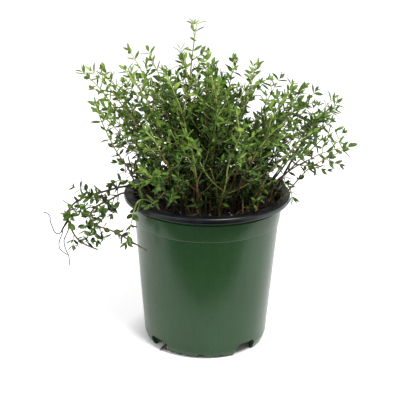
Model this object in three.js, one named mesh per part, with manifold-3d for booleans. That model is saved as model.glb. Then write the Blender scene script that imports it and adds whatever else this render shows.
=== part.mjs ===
// A thyme plant in a plastic nursery pot, in millimetres, with +Z up.
// The origin is the centre of the ring that the pot stands on.
// The pot is one thin shell with a flat rim, and a foot with four arches, which open through the edge of its
// floor for drainage, and small notches between them. The soil fills it nearly to the rim.
// Each leafy stem stands in a plain hole of its own in the soil, and is one solid: its stalk, its side shoots
// and their leaves, fused. Three more stems trail over the rim.

import * as THREE from "three";
import { mergeVertices } from "three/addons/utils/BufferGeometryUtils.js";
import Module from "manifold-3d";

const wasm = await Module();
wasm.setup();

// Driving dimensions of the pot
const POT_HEIGHT = 155.5;
const RIM_RADIUS = 82.5;
const RIM_DROP = 5.5;
const RIM_THICK = 2.2;
const WALL = 1.2;
const RIM_ROUND = 1;
const MOUTH_ROUND = { across: 1, down: 1.5 };
const WALL_TOP_RADIUS = 74.2;
const WALL_FOOT_RADIUS = 62;
const COLLAR_TOP = 145;
const COLLAR_FOOT = 128.3;
const COLLAR_STEP = 0.9;
const COLLAR_FLARE = 1.5;
const FOOT_TURN_HEIGHT = 8;
const FOOT_WAIST = { radius: 59.8, height: 3 };
const FOOT_RADIUS = 56.8;
const FOOT_WIDTH = 2;
const BASE_LIFT = 10.4;
const POT_SEGMENTS = 36;
const ARCH = { width: 24, height: 12.6, corner: 4.5 };
const ARCH_START = THREE.MathUtils.degToRad(-138.5);
const ARCHES = 4;
const CUT_DEPTH = 11;
const ROUNDED = 1 - Math.SQRT1_2;

// The notches after each arch: how far each is turned from it, in degrees, and its shape
const NOTCHES = [
  [26, { width: 5, height: 2.6, corner: 1.2 }],
  [45, { width: 6, height: 4, corner: 1.6 }],
  [64, { width: 5, height: 2.6, corner: 1.2 }],
];

// Driving dimensions of the soil
const SOIL_TOP = 141;
const SOIL_LUMP = 1.6;
const FIT_GAP = 0.35;
const SOIL_RINGS = [38];
const SOIL_SEGMENTS = 24;
const HOLE = { base: 2.6, tip: 2.6, steps: 1 };
const BURIED = 9;

// Driving dimensions of the plant
const FOOT_SHARE = 0.36;
const FOOT_REACH = 43;
const STALK = { base: 1.4, tip: 0.85, steps: 4 };
const TRAILING_STALK = { base: 1.3, tip: 0.85, steps: 8 };
const SHOOT = { base: 0.85, tip: 0.75, steps: 1 };
const ROOT = { base: 0.5, tip: 0.45, steps: 4 };
const SHOOTS_DRAWN = 12;
const SHOOTS_KEPT = 4;
const SHOOT_SEED = 100;
const SHOOT_TO = 0.92;
const SHOOT_LONG = 44;
const SHOOT_SHORT = 14;
const SHOOT_ANGLE = THREE.MathUtils.degToRad(48);
const LEAF = { length: 10.5, width: 5.2, thick: 0.9 };
const LEAF_ANGLE = THREE.MathUtils.degToRad(58);
const TIP_LEAF_ANGLE = THREE.MathUtils.degToRad(45);
const GOLDEN_ANGLE = THREE.MathUtils.degToRad(137.5);
const AIR = 0.45;
const SLIVER = 0.06;

// The pairs of leaves on a stalk and on a side shoot, each pair on two opposite flat sides: the share of its
// length, its turn about the stalk, the angle that the leaves make with it and their size
const EVEN_SIDES = Math.PI / 4;
const ODD_SIDES = (Math.PI * 3) / 4;
const STALK_LEAVES = [
  [0.71, EVEN_SIDES, LEAF_ANGLE, 1],
  [0.85, ODD_SIDES, LEAF_ANGLE, 1],
  [0.97, EVEN_SIDES, TIP_LEAF_ANGLE, 0.95],
];
const SHOOT_LEAVES = [
  [0.6, EVEN_SIDES, LEAF_ANGLE, 0.9],
  [0.95, ODD_SIDES, TIP_LEAF_ANGLE, 0.9],
];

// The upright stems, each as the point that its stalk reaches, its bow and its bare share. The bow is how far
// the stalk is arched up (more than 0) or sags outwards first (less than 0), as a share of its length. The
// bare share is the part of the stalk, from its foot, that has no side shoots.
const UPRIGHT_STEMS = [
  [-122, 8, 272, 0.15, 0.42],
  [-109, -28, 281, 0.18, 0.38],
  [-103, 38, 266, 0.15, 0.45],
  [-76, -48, 287, 0.15, 0.22],
  [-76, 4, 294, 0.12, 0.22],
  [-59, 30, 288, 0.15, 0.22],
  [-105, -42, 253, -0.11, 0.42],
  [-12, 2, 324, -0.1, 0.22],
  [-28, 42, 288, 0.05, 0.22],
  [-38, -58, 286, 0.18, 0.22],
  [-3, -36, 296, 0.09, 0.22],
  [24, 24, 282, 0.08, 0.22],
  [10, -66, 280, 0.15, 0.22],
  [46, -14, 286, 0.11, 0.22],
  [70, 34, 262, 0.12, 0.3],
  [77, -40, 268, 0.15, 0.34],
  [92, 8, 260, 0.11, 0.36],
  [107, 52, 245, 0.14, 0.5],
  [124, 6, 245, 0.03, 0.56],
  [121, -36, 230, 0.08, 0.5],
  [146, 44, 192, 0.2, 0.56],
  [-56, -86, 240, 0.15, 0.22],
  [-18, -93, 238, 0.18, 0.22],
  [32, -90, 246, 0.15, 0.22],
  [62, -80, 243, 0.15, 0.31],
  [96, -64, 236, 0.12, 0.48],
  [-58, -92, 206, 0.09, 0.34],
  [-84, 78, 246, 0.15, 0.3],
  [-42, 92, 256, 0.15, 0.22],
  [4, 96, 262, 0.12, 0.22],
  [48, 86, 260, 0.15, 0.22],
  [84, 84, 232, 0.15, 0.22],
  [-94, 62, 240, 0.09, 0.45],
  [120, 74, 216, 0.18, 0.5],
];

// The trailing stems, each as the points that its stalk passes, and the shares of its length at which a pair
// of leaves, a side shoot or a hanging root leaves it
const TRAILING_STEMS = [
  {
    points: [
      [-46, 8, 132], [-56, 6, 149], [-70, 3, 158], [-85, -1, 158.5], [-99, -6, 156], [-115, -12, 153],
      [-127, -18, 149], [-134, -22, 143], [-136, -26, 135], [-133, -29, 126], [-129, -31, 118],
      [-121, -34, 111], [-106, -38, 106],
    ],
    leaves: [0.34, 0.44, 0.54, 0.64, 0.75, 0.87],
    shoots: [0.4, 0.5],
    roots: [
      { from: 0.76, points: [[-139, -32, 114], [-139, -34, 104], [-134, -36, 97], [-134, -36, 88]] },
      { from: 0.73, points: [[-144, -40, 122], [-149, -50, 137], [-150, -60, 150], [-152, -72, 156]] },
    ],
  },
  {
    points: [
      [-44, -14, 132], [-55, -16, 150], [-68, -19, 159], [-83, -22, 159], [-94, -27, 154],
      [-105, -32, 150], [-112, -37, 144], [-112, -41, 137], [-104, -45, 133], [-94, -48, 131],
      [-82, -52, 127], [-70, -54, 120], [-57, -54, 112],
    ],
    leaves: [0.42, 0.5, 0.6, 0.7, 0.82],
    shoots: [0.46, 0.56],
    roots: [],
  },
  {
    points: [
      [-38, -33, 132], [-46, -37, 148], [-57, -44, 160], [-65, -53, 162], [-69, -60, 154],
      [-71, -63, 144], [-74, -63, 133], [-76, -61, 122],
    ],
    leaves: [0.45, 0.66, 0.78, 0.97],
    shoots: [],
    roots: [],
  },
];

const PLASTIC = new THREE.MeshStandardMaterial({ color: 0x3f6a43, roughness: 0.38, metalness: 0 });
const POTTING_MIX = new THREE.MeshStandardMaterial({ color: 0x1c1712, roughness: 0.95, metalness: 0 });
const FOLIAGE = new THREE.MeshStandardMaterial({ color: 0x47702c, roughness: 0.6, metalness: 0 });

// The same seed gives the same row of numbers between 0 and 1.
function drawsFrom(seed) {
  let state = seed;
  return () => {
    state = (state + 0x6d2b79f5) >>> 0;
    let mixed = Math.imul(state ^ (state >>> 15), state | 1);
    mixed ^= mixed + Math.imul(mixed ^ (mixed >>> 7), mixed | 61);
    return ((mixed ^ (mixed >>> 14)) >>> 0) / 2 ** 32;
  };
}

// A closed geometry as a solid that can be joined and cut
function solidOf(geometry) {
  geometry.deleteAttribute("normal");
  geometry.deleteAttribute("uv");
  const merged = mergeVertices(geometry, 1e-4);
  const triVerts = [];
  for (let i = 0; i < merged.index.count; i += 3) {
    const [a, b, c] = [0, 1, 2].map((k) => merged.index.getX(i + k));
    if (a !== b && b !== c && c !== a) triVerts.push(a, b, c);
  }
  const vertProperties = merged.attributes.position.array;
  return new wasm.Manifold(
    new wasm.Mesh({ numProp: 3, vertProperties, triVerts: new Uint32Array(triVerts) }),
  );
}

// A solid as a named mesh, without the slivers that joins leave
function meshOf(name, solid, material) {
  const { vertProperties, triVerts } = solid.asOriginal().simplify(SLIVER).getMesh();
  const geometry = new THREE.BufferGeometry();
  geometry.setAttribute("position", new THREE.BufferAttribute(vertProperties, 3));
  geometry.setIndex(new THREE.BufferAttribute(triVerts, 1));
  geometry.computeVertexNormals();
  const mesh = new THREE.Mesh(geometry, material);
  mesh.name = name;
  return mesh;
}

function latheSolid(profile, segments) {
  const points = profile.map(([r, z]) => new THREE.Vector2(r, z));
  return solidOf(new THREE.LatheGeometry(points, segments).rotateX(Math.PI / 2));
}

// The outer radius of the pot's wall at a height above its turned-in foot
function wallRadius(z) {
  return THREE.MathUtils.mapLinear(z, FOOT_TURN_HEIGHT, POT_HEIGHT, WALL_FOOT_RADIUS, WALL_TOP_RADIUS);
}

// A bar lying along a radius of the pot at floor level, to cut an opening with rounded upper corners in the
// foot. The half of it below the floor cuts nothing.
function footCutter(angle, { width, height, corner }) {
  const [side, top] = [width / 2, height];
  const opening = new THREE.Shape([
    [-side, -top],
    [side, -top],
    [side, top - corner],
    [side - corner * ROUNDED, top - corner * ROUNDED],
    [side - corner, top],
    [corner - side, top],
    [corner * ROUNDED - side, top - corner * ROUNDED],
    [-side, top - corner],
  ].map(([across, up]) => new THREE.Vector2(across, up)));
  const bar = new THREE.ExtrudeGeometry(opening, { depth: CUT_DEPTH * 2, bevelEnabled: false });
  bar.translate(0, 0, -CUT_DEPTH).rotateX(Math.PI / 2).rotateZ(Math.PI / 2).translate(WALL_FOOT_RADIUS, 0, 0);
  return solidOf(bar.rotateZ(angle));
}

function makePot() {
  const rimInner = WALL_TOP_RADIUS - WALL;
  const rimUnder = POT_HEIGHT - RIM_THICK;
  const floorTop = BASE_LIFT + WALL;
  const profile = [
    [0, BASE_LIFT],
    [FOOT_RADIUS - FOOT_WIDTH, BASE_LIFT],
    [FOOT_RADIUS - FOOT_WIDTH, 0],
    [FOOT_RADIUS, 0],
    [FOOT_WAIST.radius, FOOT_WAIST.height],
    [WALL_FOOT_RADIUS, FOOT_TURN_HEIGHT],
    [wallRadius(COLLAR_FOOT), COLLAR_FOOT],
    [wallRadius(COLLAR_FOOT) + COLLAR_STEP, COLLAR_FOOT + COLLAR_STEP],
    [wallRadius(COLLAR_TOP) + COLLAR_FLARE, COLLAR_TOP],
    [wallRadius(COLLAR_TOP), COLLAR_TOP + COLLAR_STEP],
    [wallRadius(rimUnder), rimUnder],
    [RIM_RADIUS - RIM_THICK, rimUnder],
    [RIM_RADIUS - RIM_THICK, POT_HEIGHT - RIM_DROP],
    [RIM_RADIUS, POT_HEIGHT - RIM_DROP],
    [RIM_RADIUS, POT_HEIGHT - RIM_ROUND],
    [RIM_RADIUS - RIM_ROUND, POT_HEIGHT],
    [rimInner + MOUTH_ROUND.across, POT_HEIGHT],
    [rimInner, POT_HEIGHT - MOUTH_ROUND.down],
    [wallRadius(floorTop) - WALL, floorTop],
    [0, floorTop],
  ];
  const cutters = Array.from({ length: ARCHES }, (_, i) => {
    const turn = ARCH_START + (i * 2 * Math.PI) / ARCHES;
    const notches = NOTCHES.map(([past, notch]) => footCutter(turn + THREE.MathUtils.degToRad(past), notch));
    return [footCutter(turn, ARCH), ...notches];
  });
  return latheSolid(profile, POT_SEGMENTS).subtract(wasm.Manifold.union(cutters.flat()));
}

// The uneven height of the soil's surface, over its mean level
function soilLump(x, y) {
  const wave = Math.sin(x / 7 + 1.3 * Math.sin(y / 11)) * Math.cos(y / 8 + 0.7 * Math.sin(x / 9));
  return SOIL_LUMP * wave;
}

// The potting mix, with a plain hole for the foot of each stalk
function makeSoil(stalks) {
  const edge = wallRadius(SOIL_TOP) - WALL - FIT_GAP;
  const bottom = BASE_LIFT + WALL + FIT_GAP;
  const profile = [
    [0, bottom],
    [wallRadius(bottom) - WALL - FIT_GAP, bottom],
    [edge, SOIL_TOP],
    ...SOIL_RINGS.toReversed().map((r) => [r, SOIL_TOP]),
    [0, SOIL_TOP],
  ].map(([r, z]) => new THREE.Vector2(r, z));
  const heap = new THREE.LatheGeometry(profile, SOIL_SEGMENTS).rotateX(Math.PI / 2);
  const place = heap.attributes.position;
  for (let i = 0; i < place.count; i++) {
    const [x, y, z] = [place.getX(i), place.getY(i), place.getZ(i)];
    if (z === SOIL_TOP && Math.hypot(x, y) < edge - 1) place.setZ(i, z + soilLump(x, y));
  }
  const holes = stalks.map((stalk) => {
    const { at: foot, along } = stalk.placeAt(0);
    const path = new THREE.LineCurve3(
      foot.clone().addScaledVector(along, -FIT_GAP),
      foot.clone().addScaledVector(along, BURIED * 2.2),
    );
    return new Stalk(path, HOLE).solid();
  });
  return solidOf(heap).subtract(wasm.Manifold.union(holes));
}

// Two directions across a stalk, square to it and to each other. The first one is level.
function sidesOf(along) {
  const level = new THREE.Vector3(0, 1, 0).cross(along).normalize();
  return [level, along.clone().cross(level)];
}

// The direction that leaves a stalk at an angle to it, after a turn about the stalk
function leaving(along, turn, spread) {
  const [level, other] = sidesOf(along);
  const across = level.multiplyScalar(Math.cos(turn)).addScaledVector(other, Math.sin(turn));
  return across.multiplyScalar(Math.sin(spread)).addScaledVector(along, Math.cos(spread));
}

// A square stalk along a curve, thinner towards its end
class Stalk {
  constructor(curve, { base, tip, steps }) {
    this.base = base;
    this.tip = tip;
    this.steps = steps;
    this.stations = curve.getSpacedPoints(steps);
  }

  // The point at a share of the stalk's length on its middle line, and the line's direction there
  placeAt(share) {
    const from = Math.min(Math.floor(share * this.steps), this.steps - 1);
    const [start, end] = [this.stations[from], this.stations[from + 1]];
    return {
      at: start.clone().lerp(end, share * this.steps - from),
      along: end.clone().sub(start).normalize(),
    };
  }

  // A straight tapered bar whose rings of corners are then set about the stations of the middle line
  solid() {
    const bar = new THREE.CylinderGeometry(this.tip, this.base, 1, 4, this.steps);
    const place = bar.attributes.position;
    for (let i = 0; i < place.count; i++) {
      const ring = Math.round((place.getY(i) + 0.5) * this.steps);
      const [level, other] = sidesOf(this.directionAt(ring));
      const corner = this.stations[ring].clone();
      corner.addScaledVector(level, place.getX(i)).addScaledVector(other, -place.getZ(i));
      place.setXYZ(i, corner.x, corner.y, corner.z);
    }
    return solidOf(bar);
  }

  directionAt(ring) {
    const before = this.stations[Math.max(ring - 1, 0)];
    const after = this.stations[Math.min(ring + 1, this.steps)];
    return after.clone().sub(before).normalize();
  }

  beads(owner) {
    return this.stations.slice(1).flatMap((to, i) => beadsBetween(this.stations[i], to, this.base, owner));
  }
}

// One leaf: a blade pointed at both ends, with a straight keel along its underside. It is a tetrahedron
// turned so that one edge is the keel and the opposite edge lies across the blade.
function leafSolid(root, direction, along, size) {
  const blade = new THREE.TetrahedronGeometry(Math.sqrt(3)).rotateZ(Math.PI / 4);
  const [length, width] = [LEAF.length * size, LEAF.width * size];
  const edge = 2 * Math.SQRT2;
  blade.scale(length / edge, width / edge, LEAF.thick / 2).translate(length / 2, 0, LEAF.thick / 2);
  const upper = along.clone().addScaledVector(direction, -along.dot(direction)).normalize();
  const side = upper.clone().cross(direction);
  blade.applyMatrix4(new THREE.Matrix4().makeBasis(direction, side, upper).setPosition(root));
  return solidOf(blade);
}

// What is already placed, as beads: points with a radius, each with the number of its stem
const placed = [];

function beadsBetween(from, to, radius, owner) {
  const count = Math.ceil(from.distanceTo(to) / (radius * 1.4)) + 1;
  return Array.from({ length: count }, (_, i) => ({
    at: from.clone().lerp(to, i / (count - 1)),
    radius,
    owner,
  }));
}

function clearOfPot({ at, radius }) {
  const room = radius + AIR;
  const reach = Math.hypot(at.x, at.y);
  const above = at.z > POT_HEIGHT + room;
  const inside = at.z > SOIL_TOP + SOIL_LUMP + room && reach < wallRadius(SOIL_TOP) - WALL - room;
  const outside = reach > RIM_RADIUS + room;
  const below = at.z < POT_HEIGHT - RIM_DROP - room && reach > wallRadius(at.z) + COLLAR_FLARE + room;
  return above || inside || outside || below;
}

function isClear(row) {
  return row.every(
    (bead) =>
      clearOfPot(bead) &&
      placed.every(
        (other) => other.owner === bead.owner || other.at.distanceTo(bead.at) > other.radius + bead.radius + AIR,
      ),
  );
}

// Adds a pair of opposite leaves to a stem's parts, leaving out a leaf that would touch something else
function addLeafPair(parts, owner, { at, along }, turn, spread, size) {
  for (const half of [0, Math.PI]) {
    const direction = leaving(along, turn + half, spread);
    const tip = at.clone().addScaledVector(direction, LEAF.length * size);
    const row = beadsBetween(at.clone().lerp(tip, 0.3), tip, (LEAF.width * size) / 2, owner);
    if (!isClear(row)) continue;
    placed.push(...row);
    parts.push(leafSolid(at, direction, along, size));
  }
}

// Adds a side shoot, which leaves the stalk at an angle, and its leaves, if there is room for it
function addShoot(parts, owner, { at, along }, turn, length) {
  const end = at.clone().addScaledVector(leaving(along, turn, SHOOT_ANGLE), length);
  const shoot = new Stalk(new THREE.LineCurve3(at, end), SHOOT);
  const row = shoot.beads(owner);
  if (!isClear(row)) return false;
  placed.push(...row);
  parts.push(shoot.solid());
  for (const [share, quarter, spread, size] of SHOOT_LEAVES) {
    addLeafPair(parts, owner, shoot.placeAt(share), quarter, spread, size);
  }
  return true;
}

// The curve of an upright stalk, from its buried foot to its tip. Its foot lies nearer the pot's axis, by
// much the same share for all, so that the stalks fan out and keep clear of each other.
function uprightCurve([x, y, z, bow]) {
  const out = new THREE.Vector3(x, y, 0).normalize();
  const reach = Math.hypot(x, y);
  const footReach = Math.min(reach * FOOT_SHARE, FOOT_REACH);
  const foot = out.clone().multiplyScalar(footReach).setZ(SOIL_TOP - BURIED);
  const tip = new THREE.Vector3(x, y, z);
  const lean = reach - footReach;
  const middle = foot.clone().lerp(tip, 0.5).addScaledVector(out, bow * (foot.z - z));
  middle.z += bow * lean;
  return new THREE.QuadraticBezierCurve3(foot, middle, tip);
}

// The side shoots that a stalk draws: where each starts, its turn about the stalk, its length and its rank
function drawShoots(number, bare) {
  const draw = drawsFrom(SHOOT_SEED + number);
  return Array.from({ length: SHOOTS_DRAWN }, (_, i) => {
    const share = bare + ((SHOOT_TO - bare) * (i + draw())) / SHOOTS_DRAWN;
    const turn = i * GOLDEN_ANGLE + draw();
    const length = THREE.MathUtils.lerp(SHOOT_LONG, SHOOT_SHORT, share) * (0.75 + 0.5 * draw());
    return { share, turn, length, rank: draw() };
  });
}

// One upright stem: its stalk, the leaves along its upper part, and a few of the shoots that it draws. Each
// stretch of the stalk keeps the shoot of lowest rank that has room.
function growUprightStem(stalk, bare, number) {
  const parts = [stalk.solid()];
  for (const [share, turn, spread, size] of STALK_LEAVES) {
    addLeafPair(parts, number, stalk.placeAt(share), turn, spread, size);
  }
  const shoots = drawShoots(number, bare);
  const stretch = SHOOTS_DRAWN / SHOOTS_KEPT;
  for (let first = 0; first < SHOOTS_DRAWN; first += stretch) {
    const ranked = shoots.slice(first, first + stretch).sort((a, b) => a.rank - b.rank);
    ranked.find(({ share, turn, length }) => addShoot(parts, number, stalk.placeAt(share), turn, length));
  }
  return wasm.Manifold.union(parts);
}

function growTrailingStem(stalk, { leaves, shoots, roots }, number) {
  const parts = [stalk.solid()];
  leaves.forEach((share, i) => {
    addLeafPair(parts, number, stalk.placeAt(share), i % 2 ? ODD_SIDES : EVEN_SIDES, LEAF_ANGLE, 1);
  });
  shoots.forEach((share, i) => {
    addShoot(parts, number, stalk.placeAt(share), i * GOLDEN_ANGLE, SHOOT_SHORT);
  });
  for (const { from, points } of roots) {
    const path = [stalk.placeAt(from).at, ...points.map((point) => new THREE.Vector3(...point))];
    parts.push(new Stalk(new THREE.CatmullRomCurve3(path, false, "catmullrom", 0.5), ROOT).solid());
  }
  return wasm.Manifold.union(parts);
}

const uprightStalks = UPRIGHT_STEMS.map((stem) => new Stalk(uprightCurve(stem), STALK));
const trailingStalks = TRAILING_STEMS.map(({ points }) => {
  const path = points.map((point) => new THREE.Vector3(...point));
  return new Stalk(new THREE.CatmullRomCurve3(path, false, "catmullrom", 0.5), TRAILING_STALK);
});
const stalks = [...uprightStalks, ...trailingStalks];
stalks.forEach((stalk, number) => placed.push(...stalk.beads(number)));

const pottedThyme = new THREE.Group();
pottedThyme.add(meshOf("pot", makePot(), PLASTIC));
pottedThyme.add(meshOf("soil", makeSoil(stalks), POTTING_MIX));
uprightStalks.forEach((stalk, i) => {
  const name = `thyme_stem_${String(i + 1).padStart(2, "0")}`;
  pottedThyme.add(meshOf(name, growUprightStem(stalk, UPRIGHT_STEMS[i].at(-1), i), FOLIAGE));
});
trailingStalks.forEach((stalk, i) => {
  const solid = growTrailingStem(stalk, TRAILING_STEMS[i], uprightStalks.length + i);
  pottedThyme.add(meshOf(`trailing_stem_${i + 1}`, solid, FOLIAGE));
});

export default pottedThyme;
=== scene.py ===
"""A thyme plant in a plastic nursery pot, dressed around its CAD model.

The classes keep their sizes in millimetres, and the meshes are made in metres. The pot stands at the
origin and +Z is up.
"""

import logging
import math
from bisect import bisect_right
from collections.abc import Callable, Iterable, Sequence
from dataclasses import dataclass, field
from enum import Enum

import bmesh
import bpy
from bmesh.types import BMEdge, BMesh, BMFace, BMVert
from mathutils import Euler, Matrix, Vector, noise
from mathutils.geometry import interpolate_bezier


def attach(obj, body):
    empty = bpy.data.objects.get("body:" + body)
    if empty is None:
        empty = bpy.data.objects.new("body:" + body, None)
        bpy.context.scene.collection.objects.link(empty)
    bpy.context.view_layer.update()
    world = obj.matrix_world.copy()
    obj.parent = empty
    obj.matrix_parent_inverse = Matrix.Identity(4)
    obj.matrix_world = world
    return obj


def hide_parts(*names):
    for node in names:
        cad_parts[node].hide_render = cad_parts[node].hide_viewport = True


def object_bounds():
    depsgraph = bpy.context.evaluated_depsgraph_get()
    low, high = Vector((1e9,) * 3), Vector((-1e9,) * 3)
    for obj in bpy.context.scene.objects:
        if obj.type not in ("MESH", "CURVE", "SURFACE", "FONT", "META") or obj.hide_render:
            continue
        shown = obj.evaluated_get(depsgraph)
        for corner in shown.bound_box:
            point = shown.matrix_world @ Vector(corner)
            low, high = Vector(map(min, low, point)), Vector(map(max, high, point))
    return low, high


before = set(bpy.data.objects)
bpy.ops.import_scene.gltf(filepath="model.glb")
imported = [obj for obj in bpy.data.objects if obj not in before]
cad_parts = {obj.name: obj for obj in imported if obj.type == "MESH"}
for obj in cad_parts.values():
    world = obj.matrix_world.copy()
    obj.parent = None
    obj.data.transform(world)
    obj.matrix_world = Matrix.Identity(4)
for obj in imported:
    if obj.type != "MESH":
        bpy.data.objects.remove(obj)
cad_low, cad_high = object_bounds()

log = logging.getLogger("potted_thyme")

MM = 0.001
UP = Vector((0, 0, 1))
# Points nearer to each other than this become one
MERGE = 1e-4
# The stretches of a rounded corner of an outline
ROUND_STEPS = 4

Pair = tuple[float, float]
Triple = tuple[float, float, float]
Colour = tuple[float, float, float, float]


def tone(red: int, green: int, blue: int) -> Colour:
    """A colour as it looks on a screen, from 0 to 255, as the linear colour that shaders take."""
    linear = [
        (c / 255) / 12.92 if c / 255 <= 0.04045 else ((c / 255 + 0.055) / 1.055) ** 2.4
        for c in (red, green, blue)
    ]
    return (*linear, 1.0)


def smooth_step(low: float, high: float, value: float) -> float:
    """0 below low, 1 above high, and a smooth rise between them."""
    share = min(max((value - low) / (high - low), 0.0), 1.0)
    return share * share * (3 - 2 * share)


class Draws:
    """A seeded row of numbers. The same seed gives the same row as in the CAD model."""

    MASK = 0xFFFFFFFF

    def __init__(self, seed: int) -> None:
        """Starts the row at a seed."""
        self.state = seed

    def draw(self) -> float:
        """The next number, between 0 and 1.

        Returns:
            The number.
        """
        self.state = (self.state + 0x6D2B79F5) & self.MASK
        mixed = ((self.state ^ (self.state >> 15)) * (self.state | 1)) & self.MASK
        mixed ^= (mixed + (((mixed ^ (mixed >> 7)) * (mixed | 61)) & self.MASK)) & self.MASK
        return ((mixed ^ (mixed >> 14)) & self.MASK) / 2**32

    def between(self, low: float, high: float) -> float:
        """A number between low and high."""
        return low + (high - low) * self.draw()

    def turned(self) -> Matrix:
        """A turn to any side."""
        return Euler([self.between(-math.pi, math.pi) for _ in range(3)]).to_matrix().to_4x4()


# ---------------------------------------------------------------- finishes


class Shade:
    """An output of a node. Sums of shades and numbers add their Math nodes."""

    def __init__(self, nodes: "Nodes", socket: bpy.types.NodeSocket) -> None:
        """Keeps the tree and the socket."""
        self.nodes = nodes
        self.socket = socket

    def _maths(self, operation: str, first: "Shade | float", second: "Shade | float") -> "Shade":
        """A Math node on two values."""
        return self.nodes.add("ShaderNodeMath", {"operation": operation}, {0: first, 1: second})

    def __add__(self, other: "Shade | float") -> "Shade":
        """self + other."""
        return self._maths("ADD", self, other)

    def __radd__(self, other: float) -> "Shade":
        """other + self."""
        return self._maths("ADD", other, self)

    def __sub__(self, other: "Shade | float") -> "Shade":
        """self - other."""
        return self._maths("SUBTRACT", self, other)

    def __rsub__(self, other: float) -> "Shade":
        """other - self."""
        return self._maths("SUBTRACT", other, self)

    def __mul__(self, other: "Shade | float") -> "Shade":
        """self * other."""
        return self._maths("MULTIPLY", self, other)

    def __rmul__(self, other: float) -> "Shade":
        """other * self."""
        return self._maths("MULTIPLY", other, self)

    def clamped(self) -> "Shade":
        """The value, held between 0 and 1."""
        return self.nodes.add("ShaderNodeClamp", {}, {0: self})


class Nodes:
    """The nodes of one material, around its Principled shader."""

    # A Mix node's two inputs and its output when it mixes colours
    FIRST, SECOND, MIXED = 6, 7, 2

    def __init__(self, material: bpy.types.Material) -> None:
        """Starts from the shader and the output that a new material has."""
        material.use_nodes = True
        self.tree = material.node_tree
        self.shader = self.tree.nodes["Principled BSDF"]

    def add(
        self,
        kind: str,
        settings: dict[str, object],
        sockets: dict[str | int, object],
        output: str | int = 0,
    ) -> Shade:
        """Adds a node.

        Args:
            kind: The node's type.
            settings: Its properties. "stops" are a colour ramp's positions and colours.
            sockets: Values or shades for its inputs.
            output: The output that is wanted.

        Returns:
            The output as a shade.
        """
        node = self.tree.nodes.new(kind)
        for name, value in settings.items():
            if name == "stops":
                self._set_stops(node.color_ramp, value)
            else:
                setattr(node, name, value)
        for key, value in sockets.items():
            self._feed(node.inputs[key], value)
        return Shade(self, node.outputs[output])

    def _feed(self, socket: bpy.types.NodeSocket, value: object) -> None:
        """Links a shade to an input, or sets the input to a value.

        Args:
            socket: The input.
            value: The shade, number, colour or place.
        """
        if isinstance(value, Shade):
            self.tree.links.new(value.socket, socket)
        else:
            socket.default_value = value

    def _set_stops(self, ramp: bpy.types.ColorRamp, stops: Sequence[tuple[float, Colour]]) -> None:
        """Gives a colour ramp its stops.

        Args:
            ramp: The ramp, which starts with two stops.
            stops: The stops' positions and colours.
        """
        while len(ramp.elements) < len(stops):
            ramp.elements.new(1.0)
        for element, (position, colour) in zip(ramp.elements, stops):
            element.position = position
            element.color = colour

    def set(self, **inputs: object) -> None:
        """Feeds the shader's inputs, named with _ for a space."""
        for name, value in inputs.items():
            self._feed(self.shader.inputs[name.replace("_", " ")], value)

    def place(self, stretch: Triple = (1, 1, 1)) -> Shade:
        """The place on the piece in metres, with each axis stretched."""
        place = self.add("ShaderNodeTexCoord", {}, {}, "Object")
        return self.add("ShaderNodeVectorMath", {"operation": "MULTIPLY"}, {0: place, 1: stretch})

    def grain(self, scale: float, detail: float = 3, stretch: Triple = (1, 1, 1)) -> Shade:
        """Cloudy noise from 0 to 1, with that many spots to a metre."""
        return self.add(
            "ShaderNodeTexNoise", {}, {"Vector": self.place(stretch), "Scale": scale, "Detail": detail}
        )

    def blend(self, share: Shade | float, first: Shade | Colour, second: Shade | Colour) -> Shade:
        """A mix of two colours."""
        sockets = {0: share, self.FIRST: first, self.SECOND: second}
        return self.add("ShaderNodeMix", {"data_type": "RGBA"}, sockets, self.MIXED)

    def dimmed(self, colour: Shade, share: Shade) -> Shade:
        """A colour, multiplied by a value."""
        return self.add("ShaderNodeVectorMath", {"operation": "SCALE"}, {0: colour, "Scale": share})

    def ramp(self, value: Shade, stops: Sequence[tuple[float, Colour]]) -> Shade:
        """The colour that a ramp gives for a value."""
        return self.add("ShaderNodeValToRGB", {"stops": stops}, {0: value})

    def grown(self, name: str) -> Shade:
        """A value that the mesh carries at its points."""
        return self.add("ShaderNodeAttribute", {"attribute_name": name}, {}, "Fac")

    def bump(self, height: Shade, depth: float, strength: float = 1) -> Shade:
        """A relief of that depth in metres, for the Normal input."""
        return self.add("ShaderNodeBump", {}, {"Strength": strength, "Distance": depth, "Height": height})


@dataclass(frozen=True)
class Finish:
    """A finish, made as a material of the same name."""

    name: str

    def dress(self, nodes: Nodes) -> None:
        """Sets the shader's inputs."""
        raise NotImplementedError

    def material(self) -> bpy.types.Material:
        """The material, made once.

        Returns:
            The material.
        """
        made = bpy.data.materials.get(self.name)
        if made is None:
            made = bpy.data.materials.new(self.name)
            self.dress(Nodes(made))
        return made


@dataclass(frozen=True)
class GreenPlastic(Finish):
    """Satin green plastic, drawn upwards when it was moulded, with dusty scuffs."""

    name: str = "green_plastic"
    deep: Colour = tone(24, 52, 25)
    worn: Colour = tone(38, 67, 37)
    dust: Colour = tone(104, 118, 98)

    def dress(self, nodes: Nodes) -> None:
        """Streaks along the height, clouds of wear and a little dust in scuffs.

        Args:
            nodes: The material's nodes.
        """
        streaks = nodes.grain(60, 4, (6, 6, 0.4))
        clouds = nodes.grain(22, 4)
        scuffs = nodes.grain(330, 5, (1, 1, 2.5))
        wear = (streaks * 0.5 + clouds * 0.8 - 0.35).clamped()
        spots = ((scuffs - 0.66) * 9 * clouds).clamped()
        colour = nodes.blend(wear, self.deep, self.worn)
        colour = nodes.blend(spots * 0.3, colour, self.dust)
        nodes.set(
            Base_Color=colour,
            Roughness=0.22 + clouds * 0.1 + spots * 0.25,
            Specular_IOR_Level=0.28,
            Normal=nodes.bump(nodes.grain(420, 2) * 0.4 + streaks, 0.00012, 0.35),
        )


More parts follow.
